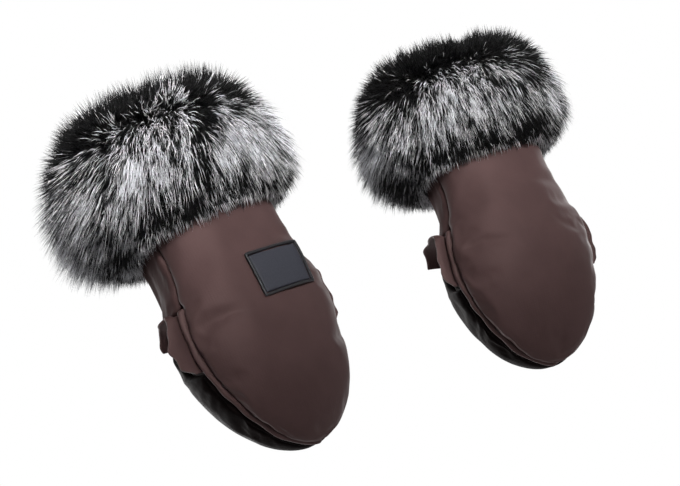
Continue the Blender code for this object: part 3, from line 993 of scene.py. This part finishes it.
for side in SETS:
    near = SETS[side]["near"]
    for word, cad_word, sign in (("near", "outboard", near), ("far", "inboard", -near)):
        seed = 3.0 + sign + (5 if side == "right" else 0)
        piece = collar(f"{side}_{word}_collar", side, sign, seed)
        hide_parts(f"{side}_{cad_word}_collar")
        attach(piece, f"{side}_muff")

# %% [markdown]
# ## Patch
# A small moulded rubber label sits on the left muff. Its face is bare. A raised rim runs round a
# groove and a slightly sunk face. It is stiffer than the cloth, so it lies on a smooth surface
# fitted to the simulated panel under it, and doesn't follow each small wave.

# %% Fit the patch to the cloth
FAR_AHEAD = 0.15


def patch_terms(i, j):
    return np.stack([np.ones_like(i), i, j, i * i, i * j, j * j, i ** 3, i ** 4], -1)


def fitted_patch():
    """The smooth surface under the patch: its depth at shares i and j of the half sizes."""
    panel = bpy.data.objects["left_front_panel"]
    rows = []
    for i in np.linspace(-1, 1, 15):
        for j in np.linspace(-1, 1, 13):
            u, w = PATCH_AT_U + i * PATCH_W / 2, PATCH_AT_W + j * PATCH_H / 2
            start = Vector(placed(np.array([[u, -FAR_AHEAD, w]]), "left")[0])
            hit, at, _, _ = panel.ray_cast(start, through("left"))
            if hit:
                rows.append((i, j, (at - start).length - FAR_AHEAD))
    i, j, depth = np.array(rows).T
    fit, *_ = np.linalg.lstsq(patch_terms(i, j), depth, rcond=None)
    off = depth - patch_terms(i, j) @ fit
    print("patch fit within", round(float(np.abs(off).max()) * 1000, 2), "mm")
    return lambda i, j: patch_terms(i, j) @ fit + off.min() * 0.6


def on_patch(depth_at, i, j, lift):
    """Points of the patch at shares i and j of its half sizes, lifted off the cloth."""
    i, j, lift = np.broadcast_arrays(*(np.asarray(x, float) for x in (i, j, lift)))
    v = depth_at(i, j)
    di = (depth_at(i + 0.01, j) - depth_at(i - 0.01, j)) / (0.02 * PATCH_W / 2)
    dj = (depth_at(i, j + 0.01) - depth_at(i, j - 0.01)) / (0.02 * PATCH_H / 2)
    normal = np.stack([di, -np.ones_like(di), dj], -1)
    normal /= np.linalg.norm(normal, axis=-1, keepdims=True)
    flat = np.stack([PATCH_AT_U + i * PATCH_W / 2, v, PATCH_AT_W + j * PATCH_H / 2], -1)
    return placed(flat + normal * lift[..., None], "left")


depth_at = fitted_patch()

# %% Patch rim
PATCH_SECTION = [(0.0, 0.0, 0.0009), (0.0, 0.0017, 0.0009), (0.0004, 0.0021, 0.0009),
                 (0.0011, 0.0022, 0.0008), (0.0017, 0.0021, 0.0007), (0.0021, 0.0017, 0.0007),
                 (0.0022, 0.0009, 0.0006), (0.0024, 0.0002, 0.0006)]
CORNER_STEPS = 5
SIDE_STEPS = 14


def rounded_loop(inset, radius):
    """Loop of (i, j) shares round the patch, inset from its edge, with small round corners."""
    a, b = PATCH_W / 2 - inset, PATCH_H / 2 - inset
    points = []
    for x, y, start in ((a, -b, -90), (a, b, 0), (-a, b, 90), (-a, -b, 180)):
        ox, oy = x - math.copysign(radius, x), y - math.copysign(radius, y)
        for k in range(CORNER_STEPS + 1):
            t = math.radians(start + 90 * k / CORNER_STEPS)
            points.append((ox + radius * math.cos(t), oy + radius * math.sin(t)))
    loop = []
    for (x, y), (nx, ny) in zip(points, points[1:] + points[:1]):
        steps = SIDE_STEPS if math.hypot(nx - x, ny - y) > 0.01 else 1
        loop += [(x + (nx - x) * t / steps, y + (ny - y) * t / steps) for t in range(steps)]
    loop = np.array(loop)
    return loop[:, 0] / (PATCH_W / 2), loop[:, 1] / (PATCH_H / 2)


ring = np.stack([on_patch(depth_at, *rounded_loop(inset, radius), lift)
                 for inset, lift, radius in PATCH_SECTION])
patch_rim = mesh_object("left_patch_frame", ring.reshape(-1, 3), ring_quads(*ring.shape[:2], True))
finished(patch_rim, RIM_RUBBER)
print(patch_rim.name, len(patch_rim.data.polygons), "faces")

# %% Patch face
FACE_STEPS = 24
FACE_INSET = 0.0028
FACE_LIFT = 0.0013
FACE_EDGE_DROP = 0.0006

i, j = np.meshgrid(*[np.linspace(-1, 1, FACE_STEPS + 1)] * 2)
i, j = i * (1 - FACE_INSET / (PATCH_W / 2)), j * (1 - FACE_INSET / (PATCH_H / 2))
border = np.maximum(np.abs(i) / np.abs(i).max(), np.abs(j) / np.abs(j).max())
top_grid = on_patch(depth_at, i, j, FACE_LIFT - FACE_EDGE_DROP * (border > 0.999))
base_grid = on_patch(depth_at, i, j, 0.0)
patch_face = slab("left_patch_bare_face", top_grid, base_grid, FACE_RUBBER)
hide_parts("patch_rim")
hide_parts("patch_face")
for piece in (patch_rim, patch_face):
    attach(piece, "left_muff")
print(patch_face.name, len(patch_face.data.polygons), "faces")

# %% [markdown]
# ## The fur cuff
# The cuff is a band of long-pile fur fabric turned out over the wrist. The pile is black at the
# root and frosted at the tip, lies in tufts, and falls the way it was brushed. A bump or a flat
# image would never give its outline, and Blender's own hair can't be exported, so real strands
# are needed. Geometry Nodes scatter them on a plain pelt. The pelt carries what a groomer would
# decide, as attributes: which way the pile grows, which way it falls, how long and how frosted
# it is. A comb line parts the pile down the front of the left cuff and notches the crown of the
# right one. The tree then only has to repeat one tapered strand.

# %% The pelt's surface
HANG = np.array((-0.40, 0.0, -0.917))
PELT_COLUMNS = 120
PELT_ROWS = 34
PELT_PROFILE = [(-0.0020, 0.0905), (-0.0070, 0.0878), (-0.0130, 0.0908), (-0.0195, 0.1005),
                (-0.0245, 0.1135), (-0.0268, 0.1290), (-0.0262, 0.1450), (-0.0230, 0.1610),
                (-0.0172, 0.1750), (-0.0090, 0.1840), (0.0005, 0.1862), (0.0068, 0.1820)]
PELT_BACK = [(0.0078, 0.1725), (0.0072, 0.1706), (-0.0018, 0.1706), (-0.0018, 0.150),
             (-0.0018, 0.120), (-0.0018, 0.0885)]


def pelt_surface(side):
    """The pelt's outer grid, its normals, and the way down along it."""
    grid = wrist_rings(side, along_curve(PELT_PROFILE, PELT_ROWS), PELT_COLUMNS)
    normal = normals_of(np.concatenate([grid[:, -1:], grid, grid[:, :1]], 1))[:, 1:-1]
    if ((grid - grid.mean(axis=(0, 1))) * normal).sum() < 0:
        normal = -normal
    down = grid[:-1] - grid[1:]
    down = np.concatenate([down, down[-1:]], 0)
    return grid, normal, down / np.linalg.norm(down, axis=-1, keepdims=True)


print("pelt:", PELT_ROWS, "rows of", PELT_COLUMNS)

# %% Groom the pelt
COMB_COLUMN = {"left": 60, "right": 58}
COMB_STRENGTH = {"left": 1.0, "right": 0.8}
INNER_COLUMN, OUTER_COLUMN = 52, 92
FROST = {"left": {"base": 0.45, "drop": 0.32, "high": 0.60, "seed": 2.0},
         "right": {"base": 0.40, "drop": 0.36, "high": 0.54, "seed": 9.0}}
SHARE = np.linspace(0.0, 1.0, PELT_ROWS)[:, None] * np.ones((1, PELT_COLUMNS))
CROWN = smooth(0.60, 0.90, SHARE)
COLUMNS = np.arange(PELT_COLUMNS)[None, :]


def lobe(column):
    """1 at a column of the pelt and 0 from a quarter turn off it."""
    return np.clip(np.cos((COLUMNS - column) / PELT_COLUMNS * 2 * math.pi), 0.0, 1.0)


INNER, OUTER = lobe(INNER_COLUMN), lobe(OUTER_COLUMN)


def comb_line(side, grid, normal, down):
    """The way across the comb line, each point's distance from it and the comb's strength there."""
    start = PELT_ROWS // 2, COMB_COLUMN[side]
    ahead = normal[start]
    aside = np.cross(ahead, HANG if side == "left" else down[start])
    aside /= np.linalg.norm(aside)
    fronts = smooth(-0.2, 0.3, normal @ ahead) * COMB_STRENGTH[side]
    rows = smooth(0.25, 0.65, SHARE) if side == "right" else smooth(0.85, 0.55, SHARE)
    return aside, (grid - grid[start]) @ aside, fronts * rows


def frosting(side, grid, off, fronts):
    """How frosted each root's strand may be: most in the middle band, least on the crown."""
    set_to = FROST[side]
    middle = np.exp(-((SHARE - 0.42) / 0.17) ** 2)
    frost = set_to["base"] + 0.18 * middle
    frost = frost - set_to["drop"] * smooth(set_to["high"], set_to["high"] + 0.22, SHARE)
    frost = frost - 0.12 * smooth(0.30, 0.15, SHARE) + 0.34 * smooth(0.11, 0.03, SHARE)
    frost = frost + 0.20 * noise_at(grid * [1.0, 1.0, 0.6], 32.0, set_to["seed"])
    frost = frost + 0.40 * noise_at(grid * [1.0, 1.0, 0.45], 95.0, set_to["seed"] + 3)
    frost = frost - 0.50 * fronts * np.exp(-(off / 0.0028) ** 2)
    frost = frost - 0.08 * OUTER - 0.10 * INNER * smooth(60, 52, COLUMNS)
    return np.clip(frost, 0.02, 0.98)


def groomed(side):
    """The pelt's outer grid, and on it the way its pile grows and falls, its length and frost."""
    grid, normal, down = pelt_surface(side)
    aside, off, fronts = comb_line(side, grid, normal, down)
    lie = 1.05 - 1.05 * smooth(0.40, 0.85, SHARE) - 0.35 * smooth(0.2, 0.0, SHARE)
    growth = normal + (HANG * 0.75 + down * 0.25) * lie[..., None]
    growth += aside * (fronts * np.sign(off) * np.exp(-np.abs(off) / 0.016) * 0.24)[..., None]
    growth /= np.linalg.norm(growth, axis=-1, keepdims=True)
    growth *= (1 - (0.35 - 0.10 * INNER) * CROWN)[..., None]
    fall = HANG * 0.85 * (1 - CROWN)[..., None] + normal * 0.30 * CROWN[..., None]
    pile = 0.0090 + 0.0172 * smooth(0.08, 0.42, SHARE) - 0.0090 * smooth(0.55, 0.85, SHARE)
    pile = pile * (1.0 + 0.12 * INNER * CROWN if side == "left" else 0.85)
    if side == "right":
        pile = pile * (1 - 0.5 * fronts * CROWN * np.exp(-(off / 0.008) ** 2))
    frost = frosting(side, grid, off, fronts)
    return grid, (growth, fall, pile, frost, np.ones(grid.shape[:2]))


print("comb lines at columns", COMB_COLUMN)

# %% [markdown]
# ## Fur finishes
# The pelt under the pile is black with a fine fuzz. A strand is black at its root and turns white
# towards its tip, and only some strands do. A strand's own tone and how far along it a point lies
# are kept in its map, so one material serves them all. Blender's hair shader would look fine here,
# but it isn't carried by an exported model.

# %% Fur finishes
BLACK = (0.004, 0.004, 0.004)


def pelt_material():
    mat, tree, shader = new_material("black_pelt")
    fuzz = noise_node(tree, object_place(tree), 260.0, 4.0)
    colour = ramp(tree, fuzz, [(0.35, BLACK), (0.7, (0.016, 0.016, 0.017))])
    tree.links.new(colour, shader.inputs["Base Color"])
    bump(tree, shader, fuzz, 0.002, 1.0)
    settings(shader, Roughness=0.9, Specular_IOR_Level=0.1)
    return mat


def strand_material():
    """Black at the root. The map's u, the strand's tone, says how white it grows to its tip."""
    mat, tree, shader = new_material("frosted_pile")
    parts = node(tree, "SeparateXYZ")
    tree.links.new(node(tree, "UVMap", uv_map="OFBake").outputs["UV"], parts.inputs[0])
    tone, along = parts.outputs["X"], parts.outputs["Y"]
    tip = ramp(tree, tone, [(0.0, BLACK), (0.42, (0.012, 0.012, 0.013)),
                            (0.54, (0.24, 0.238, 0.25)), (0.70, (0.93, 0.925, 0.96))])
    rise = ramp(tree, along, [(0.30, (0.0, 0.0, 0.0)), (0.55, (1.0, 1.0, 1.0))])
    mix = node(tree, "Mix", data_type="RGBA")
    tree.links.new(rise, mix.inputs[0])
    mix.inputs[6].default_value = (0.006, 0.006, 0.0065, 1.0)
    tree.links.new(tip, mix.inputs[7])
    tree.links.new(mix.outputs[2], shader.inputs["Base Color"])
    settings(shader, Roughness=0.45, Specular_IOR_Level=0.10)
    return mat


PELT = pelt_material()
PILE = strand_material()
print("fur finishes:", PELT.name, "and", PILE.name)

# %% [markdown]
# ## The pelt as a mesh
# The groomed outside and a plain inside make one closed ring of fabric, so it has a thickness
# wherever the pile lets it show. The groomer's decisions are stored on its points. Only the
# outside is marked as furry, and no strand grows where that mark is 0.

# %% The pelt's mesh
MARKS = ("growth", "fall", "pile", "frost", "furry")


def attribute(mesh, name, values):
    kind, slot = ("FLOAT_VECTOR", "vector") if values.ndim == 3 else ("FLOAT", "value")
    layer = mesh.attributes.new(name, kind, "POINT")
    layer.data.foreach_set(slot, np.ravel(values).astype("f"))


def pelt(side):
    """Closed ring of fur fabric: the groomed outside and a plain inside against the backing."""
    grid, groom = groomed(side)
    inner = wrist_rings(side, PELT_BACK, PELT_COLUMNS)
    loops = np.concatenate([grid, inner])
    faces = ring_quads(*loops.shape[:2], True)
    obj = mesh_object(f"{side}_cuff_pelt", loops.reshape(-1, 3), faces)
    for name, values in zip(MARKS, groom):
        bald = np.zeros(inner.shape[:2] + values.shape[2:])
        attribute(obj.data, name, np.concatenate([values, bald]))
    print(obj.name, len(faces), "faces")
    return finished(obj, PELT, 0)


print("marks on a pelt:", ", ".join(MARKS))

# %% [markdown]
# ## The strand tree
# A Geometry Nodes tree grows the pile in five steps: scatter the roots and the tufts' middles, give
# each root its length and tone, aim it, put one tapered strand there, and comb the real strands.
# Python could place each strand too, but a tree is quicker and can be tuned by its few inputs.

# %% Shorthand for a Geometry Nodes tree
class Wiring:
    """Adds nodes to a tree and links them, so that a formula reads as one line."""

    def __init__(self, tree):
        self.tree, self.link = tree, tree.links.new

    def add(self, kind, **values):
        made = self.tree.nodes.new(kind)
        for key, value in values.items():
            setattr(made, key, value)
        return made

    def joined(self, made, values):
        """Feeds a node's sockets in order, each from an output or with a constant."""
        for socket, value in zip(made.inputs, values):
            if isinstance(value, (int, float, tuple)):
                socket.default_value = value
            elif value is not None:
                self.link(value, socket)
        return made

    def named(self, name, kind="FLOAT"):
        made = self.add("GeometryNodeInputNamedAttribute", data_type=kind)
        made.inputs["Name"].default_value = name
        return made.outputs["Attribute"]

    def calc(self, operation, a, b=None):
        return self.joined(self.add("ShaderNodeMath", operation=operation), (a, b)).outputs[0]

    def vector(self, operation, a, b=None, scale=None):
        made = self.joined(self.add("ShaderNodeVectorMath", operation=operation), (a, b))
        if isinstance(scale, float):
            made.inputs["Scale"].default_value = scale
        elif scale is not None:
            self.link(scale, made.inputs["Scale"])
        return made.outputs["Vector"]

    def xyz(self, x=0.0, y=0.0, z=0.0):
        return self.joined(self.add("ShaderNodeCombineXYZ"), (x, y, z)).outputs[0]

    def store(self, geometry, name, value, kind="FLOAT", domain="POINT"):
        made = self.add("GeometryNodeStoreNamedAttribute", data_type=kind, domain=domain)
        made.inputs["Name"].default_value = name
        self.link(geometry, made.inputs["Geometry"])
        self.link(value, made.inputs["Value"])
        return made.outputs["Geometry"]

    def random(self, low, high, seed, whose=None):
        made = self.add("FunctionNodeRandomValue", data_type="FLOAT")
        made.inputs[2].default_value, made.inputs[3].default_value = low, high
        self.link(seed, made.inputs["Seed"])
        if whose is not None:
            self.link(whose, made.inputs["ID"])
        return made.outputs[1]


# %% Roots, tufts, lengths and tones
TUFT_SEED = 77
TUFT_NOISE = 90.0
TONE_GAIN = 4.2
TUFT_LOT, OWN_LOT = 0.66, 0.34


def scattered(w, given):
    """Roots with their way to the tuft's middle, the tuft's number and its own lean."""
    furry = w.named("furry")
    roots, tufts = (w.add("GeometryNodeDistributePointsOnFaces") for _ in range(2))
    for made in (roots, tufts):
        w.link(given["Geometry"], made.inputs["Mesh"])
    w.link(w.calc("MULTIPLY", given["Strands per square metre"], furry), roots.inputs["Density"])
    w.link(given["Seed"], roots.inputs["Seed"])
    w.link(w.calc("DIVIDE", furry, w.calc("POWER", given["Tuft pitch"], 2.0)),
           tufts.inputs["Density"])
    tufts.inputs["Seed"].default_value = TUFT_SEED
    nearest = w.add("GeometryNodeSampleNearest")
    w.link(tufts.outputs["Points"], nearest.inputs["Geometry"])
    middle = w.add("GeometryNodeSampleIndex", data_type="FLOAT_VECTOR")
    place = w.add("GeometryNodeInputPosition").outputs[0]
    w.link(tufts.outputs["Points"], middle.inputs["Geometry"])
    w.link(place, middle.inputs["Value"])
    w.link(nearest.outputs["Index"], middle.inputs["Index"])
    to_tuft = w.vector("SUBTRACT", middle.outputs["Value"], place)
    lean = w.add("ShaderNodeTexNoise")
    lean.inputs["Scale"].default_value = TUFT_NOISE
    w.link(middle.outputs["Value"], lean.inputs["Vector"])
    tuft_lean = w.vector("SUBTRACT", lean.outputs["Color"], (0.5, 0.5, 0.5))
    points = w.store(roots.outputs["Points"], "to_tuft", to_tuft, "FLOAT_VECTOR")
    return points, nearest.outputs["Index"], tuft_lean


def measured(w, given, points, tuft, seeds):
    """Roots with each strand's length and tone. Strands of one tuft mostly share their tone."""
    length = w.calc("MULTIPLY", w.calc("MULTIPLY", w.named("pile"), given["Length share"]),
                    w.random(0.72, 1.12, seeds[0]))
    points = w.store(points, "length", length)
    lot = w.calc("ADD", w.calc("MULTIPLY", w.random(0.0, 1.0, seeds[1], tuft), TUFT_LOT),
                 w.calc("MULTIPLY", w.random(0.0, 1.0, seeds[1]), OWN_LOT))
    tone = w.calc("MULTIPLY", w.calc("SUBTRACT", w.named("frost"), lot), TONE_GAIN)
    tone = w.calc("ADD", tone, w.calc("ADD", given["Tone shift"], 0.5))
    limit = w.joined(w.add("ShaderNodeClamp"), (tone, 0.03, 0.97))
    return w.store(points, "tone", limit.outputs[0]), length


# %% Aim, strand and comb
TUFT_LEAN = 1.6


def aimed(w, given, tuft_lean, seeds):
    """The rotation that points each strand the way the pile grows, with its stray and tuft."""
    jitter = w.add("FunctionNodeRandomValue", data_type="FLOAT_VECTOR")
    jitter.inputs[0].default_value, jitter.inputs[1].default_value = (-1, -1, -1), (1, 1, 1)
    w.link(seeds[2], jitter.inputs["Seed"])
    stray = w.vector("SCALE", jitter.outputs[0], scale=given["Stray"])
    lean = w.vector("ADD", w.vector("ADD", w.named("growth", "FLOAT_VECTOR"), stray),
                    w.vector("SCALE", tuft_lean, scale=TUFT_LEAN))
    aim = w.add("FunctionNodeAlignRotationToVector", axis="Z")
    w.link(lean, aim.inputs["Vector"])
    spin = w.add("FunctionNodeRotateRotation", rotation_space="LOCAL")
    w.link(aim.outputs[0], spin.inputs["Rotation"])
    turn = w.add("FunctionNodeEulerToRotation")
    w.link(w.xyz(z=w.random(0.0, 2 * math.pi, seeds[0])), turn.inputs[0])
    w.link(turn.outputs[0], spin.inputs["Rotate By"])
    return spin.outputs[0]


def one_strand(w, segments):
    """A three-sided taper, one unit long and wide, that keeps its own coordinates."""
    strand = w.add("GeometryNodeMeshCone", fill_type="NGON")
    for key, value in (("Vertices", 3), ("Side Segments", segments), ("Fill Segments", 1),
                       ("Radius Top", 0.0), ("Radius Bottom", 0.5), ("Depth", 1.0)):
        strand.inputs[key].default_value = value
    local = w.add("ShaderNodeSeparateXYZ")
    w.link(w.add("GeometryNodeInputPosition").outputs[0], local.inputs[0])
    shape = strand.outputs["Mesh"]
    for name, axis in (("along", "Z"), ("across", "Y"), ("round", "X")):
        shape = w.store(shape, name, local.outputs[axis])
    return shape


def combed(w, given, real):
    """The real strands, bent down towards their tips and drawn to their tuft, with their map."""
    along = w.named("along")
    bend = w.calc("MULTIPLY", w.calc("POWER", along, 2.0), w.named("length"))
    bend = w.calc("MULTIPLY", bend, given["Bend"])
    pull = w.calc("MULTIPLY", w.calc("POWER", along, 1.5), given["Tuft pull"])
    comb = w.add("GeometryNodeSetPosition")
    w.link(real, comb.inputs["Geometry"])
    w.link(w.vector("ADD", w.vector("SCALE", w.named("fall", "FLOAT_VECTOR"), scale=bend),
                    w.vector("SCALE", w.named("to_tuft", "FLOAT_VECTOR"), scale=pull)),
           comb.inputs["Offset"])
    u = w.calc("ADD", w.named("tone"), w.calc("MULTIPLY", w.named("across"), 0.02))
    v = w.calc("ADD", w.calc("MULTIPLY", w.named("round"), 0.02), 0.02)
    v = w.calc("ADD", w.calc("MULTIPLY", along, 0.96), v)
    return w.store(comb.outputs[0], "OFBake", w.xyz(u, v), "FLOAT2", "CORNER")


# %% Strand tree
TREE_NUMBERS = ("Strands per square metre", "Root width", "Length share", "Tuft pitch",
                "Tuft pull", "Bend", "Stray", "Tone shift")
WORKING_MARKS = ("to_tuft", "length", "tone", "along", "across", "round")


def fur_tree(segments):
    """Scatters tapered strands on a pelt and combs them by its marks."""
    tree = bpy.data.node_groups.new(f"pile_{segments}", "GeometryNodeTree")
    sockets = [("Geometry", "INPUT", "Geometry")] + [(n, "INPUT", "Float") for n in TREE_NUMBERS]
    sockets += [("Seed", "INPUT", "Int"), ("Material", "INPUT", "Material"),
                ("Geometry", "OUTPUT", "Geometry")]
    for name, way, kind in sockets:
        tree.interface.new_socket(name, in_out=way, socket_type="NodeSocket" + kind)
    w = Wiring(tree)
    given = w.add("NodeGroupInput").outputs
    seeds = [w.calc("ADD", given["Seed"], shift) for shift in (11.0, 23.0, 37.0)]
    points, tuft, tuft_lean = scattered(w, given)
    points, length = measured(w, given, points, tuft, seeds)
    grow = w.add("GeometryNodeInstanceOnPoints")
    size = w.xyz(given["Root width"], given["Root width"], length)
    for socket, value in (("Points", points), ("Instance", one_strand(w, segments)),
                          ("Rotation", aimed(w, given, tuft_lean, seeds)), ("Scale", size)):
        w.link(value, grow.inputs[socket])
    real = w.add("GeometryNodeRealizeInstances")
    w.link(grow.outputs[0], real.inputs[0])
    clean = combed(w, given, real.outputs[0])
    for name in MARKS + WORKING_MARKS:
        drop = w.add("GeometryNodeRemoveAttribute")
        drop.inputs["Name"].default_value = name
        w.link(clean, drop.inputs[0])
        clean = drop.outputs[0]
    dye = w.add("GeometryNodeSetMaterial")
    w.link(clean, dye.inputs["Geometry"])
    w.link(given["Material"], dye.inputs["Material"])
    w.link(dye.outputs[0], w.add("NodeGroupOutput").inputs["Geometry"])
    print(tree.name, "has", len(tree.nodes), "nodes")
    return tree


TREES = {"guard": fur_tree(3), "under": fur_tree(2)}

# %% [markdown]
# ## Grow the fur
# Real fur has long guard hairs over a dense, darker under pile, and so has this one. Each is grown
# in two lots, so that no single mesh gets too heavy. What a tree makes is turned into a plain mesh,
# because an exported model can't carry a tree.

# %% Grow the fur
PILES = {
    "guard": {"Strands per square metre": 170000.0, "Root width": 0.0011, "Length share": 1.12,
              "Tuft pitch": 0.0025, "Tuft pull": 0.62, "Bend": 0.5, "Stray": 0.16,
              "Tone shift": 0.10},
    "under": {"Strands per square metre": 250000.0, "Root width": 0.0010, "Length share": 0.85,
              "Tuft pitch": 0.0040, "Tuft pull": 0.5, "Bend": 0.45, "Stray": 0.30,
              "Tone shift": -0.50},
}
FIRST_SEED = {"guard": 0, "under": 3}


def grown(name, ground, tree, values):
    """Plain mesh of what a tree makes on the ground's mesh, with its inputs set by their names."""
    obj = shown(name, ground.data)
    grower = obj.modifiers.new("grower", "NODES")
    grower.node_group = tree
    for item in tree.interface.items_tree:
        if item.in_out == "INPUT" and item.name in values:
            grower[item.identifier] = values[item.name]
    settled(obj)
    obj.data.shade_smooth()
    return obj


for side in SETS:
    skin = pelt(side)
    for lot in (1, 2):
        for word, numbers in PILES.items():
            values = {**numbers, "Seed": 10 * lot + FIRST_SEED[word], "Material": PILE}
            hair = grown(f"{side}_{word}_pile_{lot}", skin, TREES[word], values)
            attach(hair, f"{side}_muff")
            print(hair.name, sum(len(f.vertices) - 2 for f in hair.data.polygons), "triangles")
    for name in MARKS:
        skin.data.attributes.remove(skin.data.attributes[name])
    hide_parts(f"{side}_fur_cuff", f"{side}_cuff_backing")
    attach(skin, f"{side}_muff")

# %% [markdown]
# ## Light
# The lamps are kept at a plain level, so that each colour renders about as it is written. The key
# has a grid, which is a narrow spread here, and its light thins out downwards, so the fingertips
# turn darker. The white backdrop isn't made by strong light: the Light Path node shows white to
# camera, glossy and transmission rays alone, and a much weaker room light falls on the muffs.

# %% Backdrop
def seen_rays(tree):
    """1 for camera, glossy and transmission rays, which see the backdrop, and 0 for all others."""
    path = node(tree, "LightPath").outputs
    seen = maths(tree, "MAXIMUM", path["Is Camera Ray"], path["Is Glossy Ray"])
    return maths(tree, "MAXIMUM", seen, path["Is Transmission Ray"])


world = bpy.data.worlds.new("soft_white")
bpy.context.scene.world = world
world.use_nodes = True
tree = world.node_tree
tree.nodes.clear()
room = node(tree, "Background", Color=(0.95, 0.97, 1.0, 1.0), Strength=0.12)
white = node(tree, "Background", Color=(1.0, 1.0, 1.0, 1.0), Strength=1.0)
mix = node(tree, "MixShader")
for source, socket in zip((seen_rays(tree), room.outputs[0], white.outputs[0]), mix.inputs):
    tree.links.new(source, socket)
tree.links.new(mix.outputs[0], node(tree, "OutputWorld").inputs["Surface"])
print("world:", world.name)


# %% Lamps
def softbox(name, at, aim, size, watts, spread=180.0):
    light = bpy.data.lights.new(name, "AREA")
    light.shape = "RECTANGLE"
    light.size, light.size_y = size
    light.energy = watts
    light.spread = math.radians(spread)
    obj = shown(name, light)
    obj.location = at
    obj.rotation_euler = (Vector(aim) - Vector(at)).to_track_quat("-Z", "Y").to_euler()
    obj.visible_camera = False
    print(name, watts, "W")


CENTRE = (0.13, 0.0, 0.05)
softbox("key_with_grid", (-0.15, -1.15, 0.29), (-0.05, 0.0, 0.29), (1.1, 0.12), 4.5, 44.0)
softbox("left_above", (-0.9, -1.0, 1.3), CENTRE, (1.0, 1.0), 0.9)
softbox("rim_behind", (0.3, 1.3, 1.4), CENTRE, (1.4, 0.8), 12.0)
softbox("back_fill", (-0.2, 1.5, 0.25), CENTRE, (1.6, 1.0), 13.0)
softbox("right_fill", (1.5, 0.5, 0.5), CENTRE, (1.0, 1.0), 9.0)

# %% [markdown]
# ## Floor
# The muffs hang well above a pale floor, which closes the view from above. It is a plain disc with
# a dull finish, which takes their shadow. A glow that only seen rays meet brings it near the
# backdrop's white, so it needs no stronger lamp.

# %% Floor
FLOOR = -0.32
WIDE = 5.0
FLOOR_SIDES = 128
FLOOR_GLOW = 0.90

turns = [2 * math.pi * k / FLOOR_SIDES for k in range(FLOOR_SIDES)]
floor = mesh_object("pale_floor", [(WIDE * math.cos(t), WIDE * math.sin(t), FLOOR) for t in turns],
                    [list(range(FLOOR_SIDES))])
floor_mat, tree, shader = new_material("pale_floor")
settings(shader, Base_Color=(0.55, 0.55, 0.55, 1.0), Roughness=0.9, Specular_IOR_Level=0.0)
glow = node(tree, "Emission", Color=(1.0, 1.0, 1.0, 1.0))
tree.links.new(maths(tree, "MULTIPLY", seen_rays(tree), FLOOR_GLOW), glow.inputs["Strength"])
both = node(tree, "AddShader")
for source, socket in zip((shader, glow), both.inputs):
    tree.links.new(source.outputs[0], socket)
tree.links.new(both.outputs[0], tree.nodes["Material Output"].inputs["Surface"])
floor.data.materials.append(floor_mat)
print("floor at", FLOOR, "m")

# %% [markdown]
# ## Camera
# The camera stands low at the left and looks up, as the photograph does, and is rolled, so that the
# row of muffs climbs to the right. It is set by a matrix of its three own axes, because a roll
# about the line of sight is awkward to give as Euler angles.

# %% Camera
VIEW_TURN, VIEW_RISE, VIEW_ROLL = (math.radians(a) for a in (30, -15, 22.5))
AWAY = 0.98
AIM_ACROSS, AIM_UP = 0.096, 0.0345
LENS = 65.65

look = Vector((math.sin(VIEW_TURN) * math.cos(VIEW_RISE),
               math.cos(VIEW_TURN) * math.cos(VIEW_RISE), -math.sin(VIEW_RISE)))
across = Vector((math.cos(VIEW_TURN), -math.sin(VIEW_TURN), 0.0))
upward = across.cross(look)
eye = across * AIM_ACROSS + upward * AIM_UP - look * AWAY
right = across * math.cos(VIEW_ROLL) - upward * math.sin(VIEW_ROLL)
top = across * math.sin(VIEW_ROLL) + upward * math.cos(VIEW_ROLL)
camera = shown("photo_view", bpy.data.cameras.new("photo_view"))
camera.data.lens = LENS
camera.matrix_world = Matrix((right, top, -look)).transposed().to_4x4()
camera.matrix_world.translation = eye
bpy.context.scene.camera = camera
bpy.context.scene.view_settings.view_transform = "Standard"
print("camera at", [round(x, 3) for x in eye])
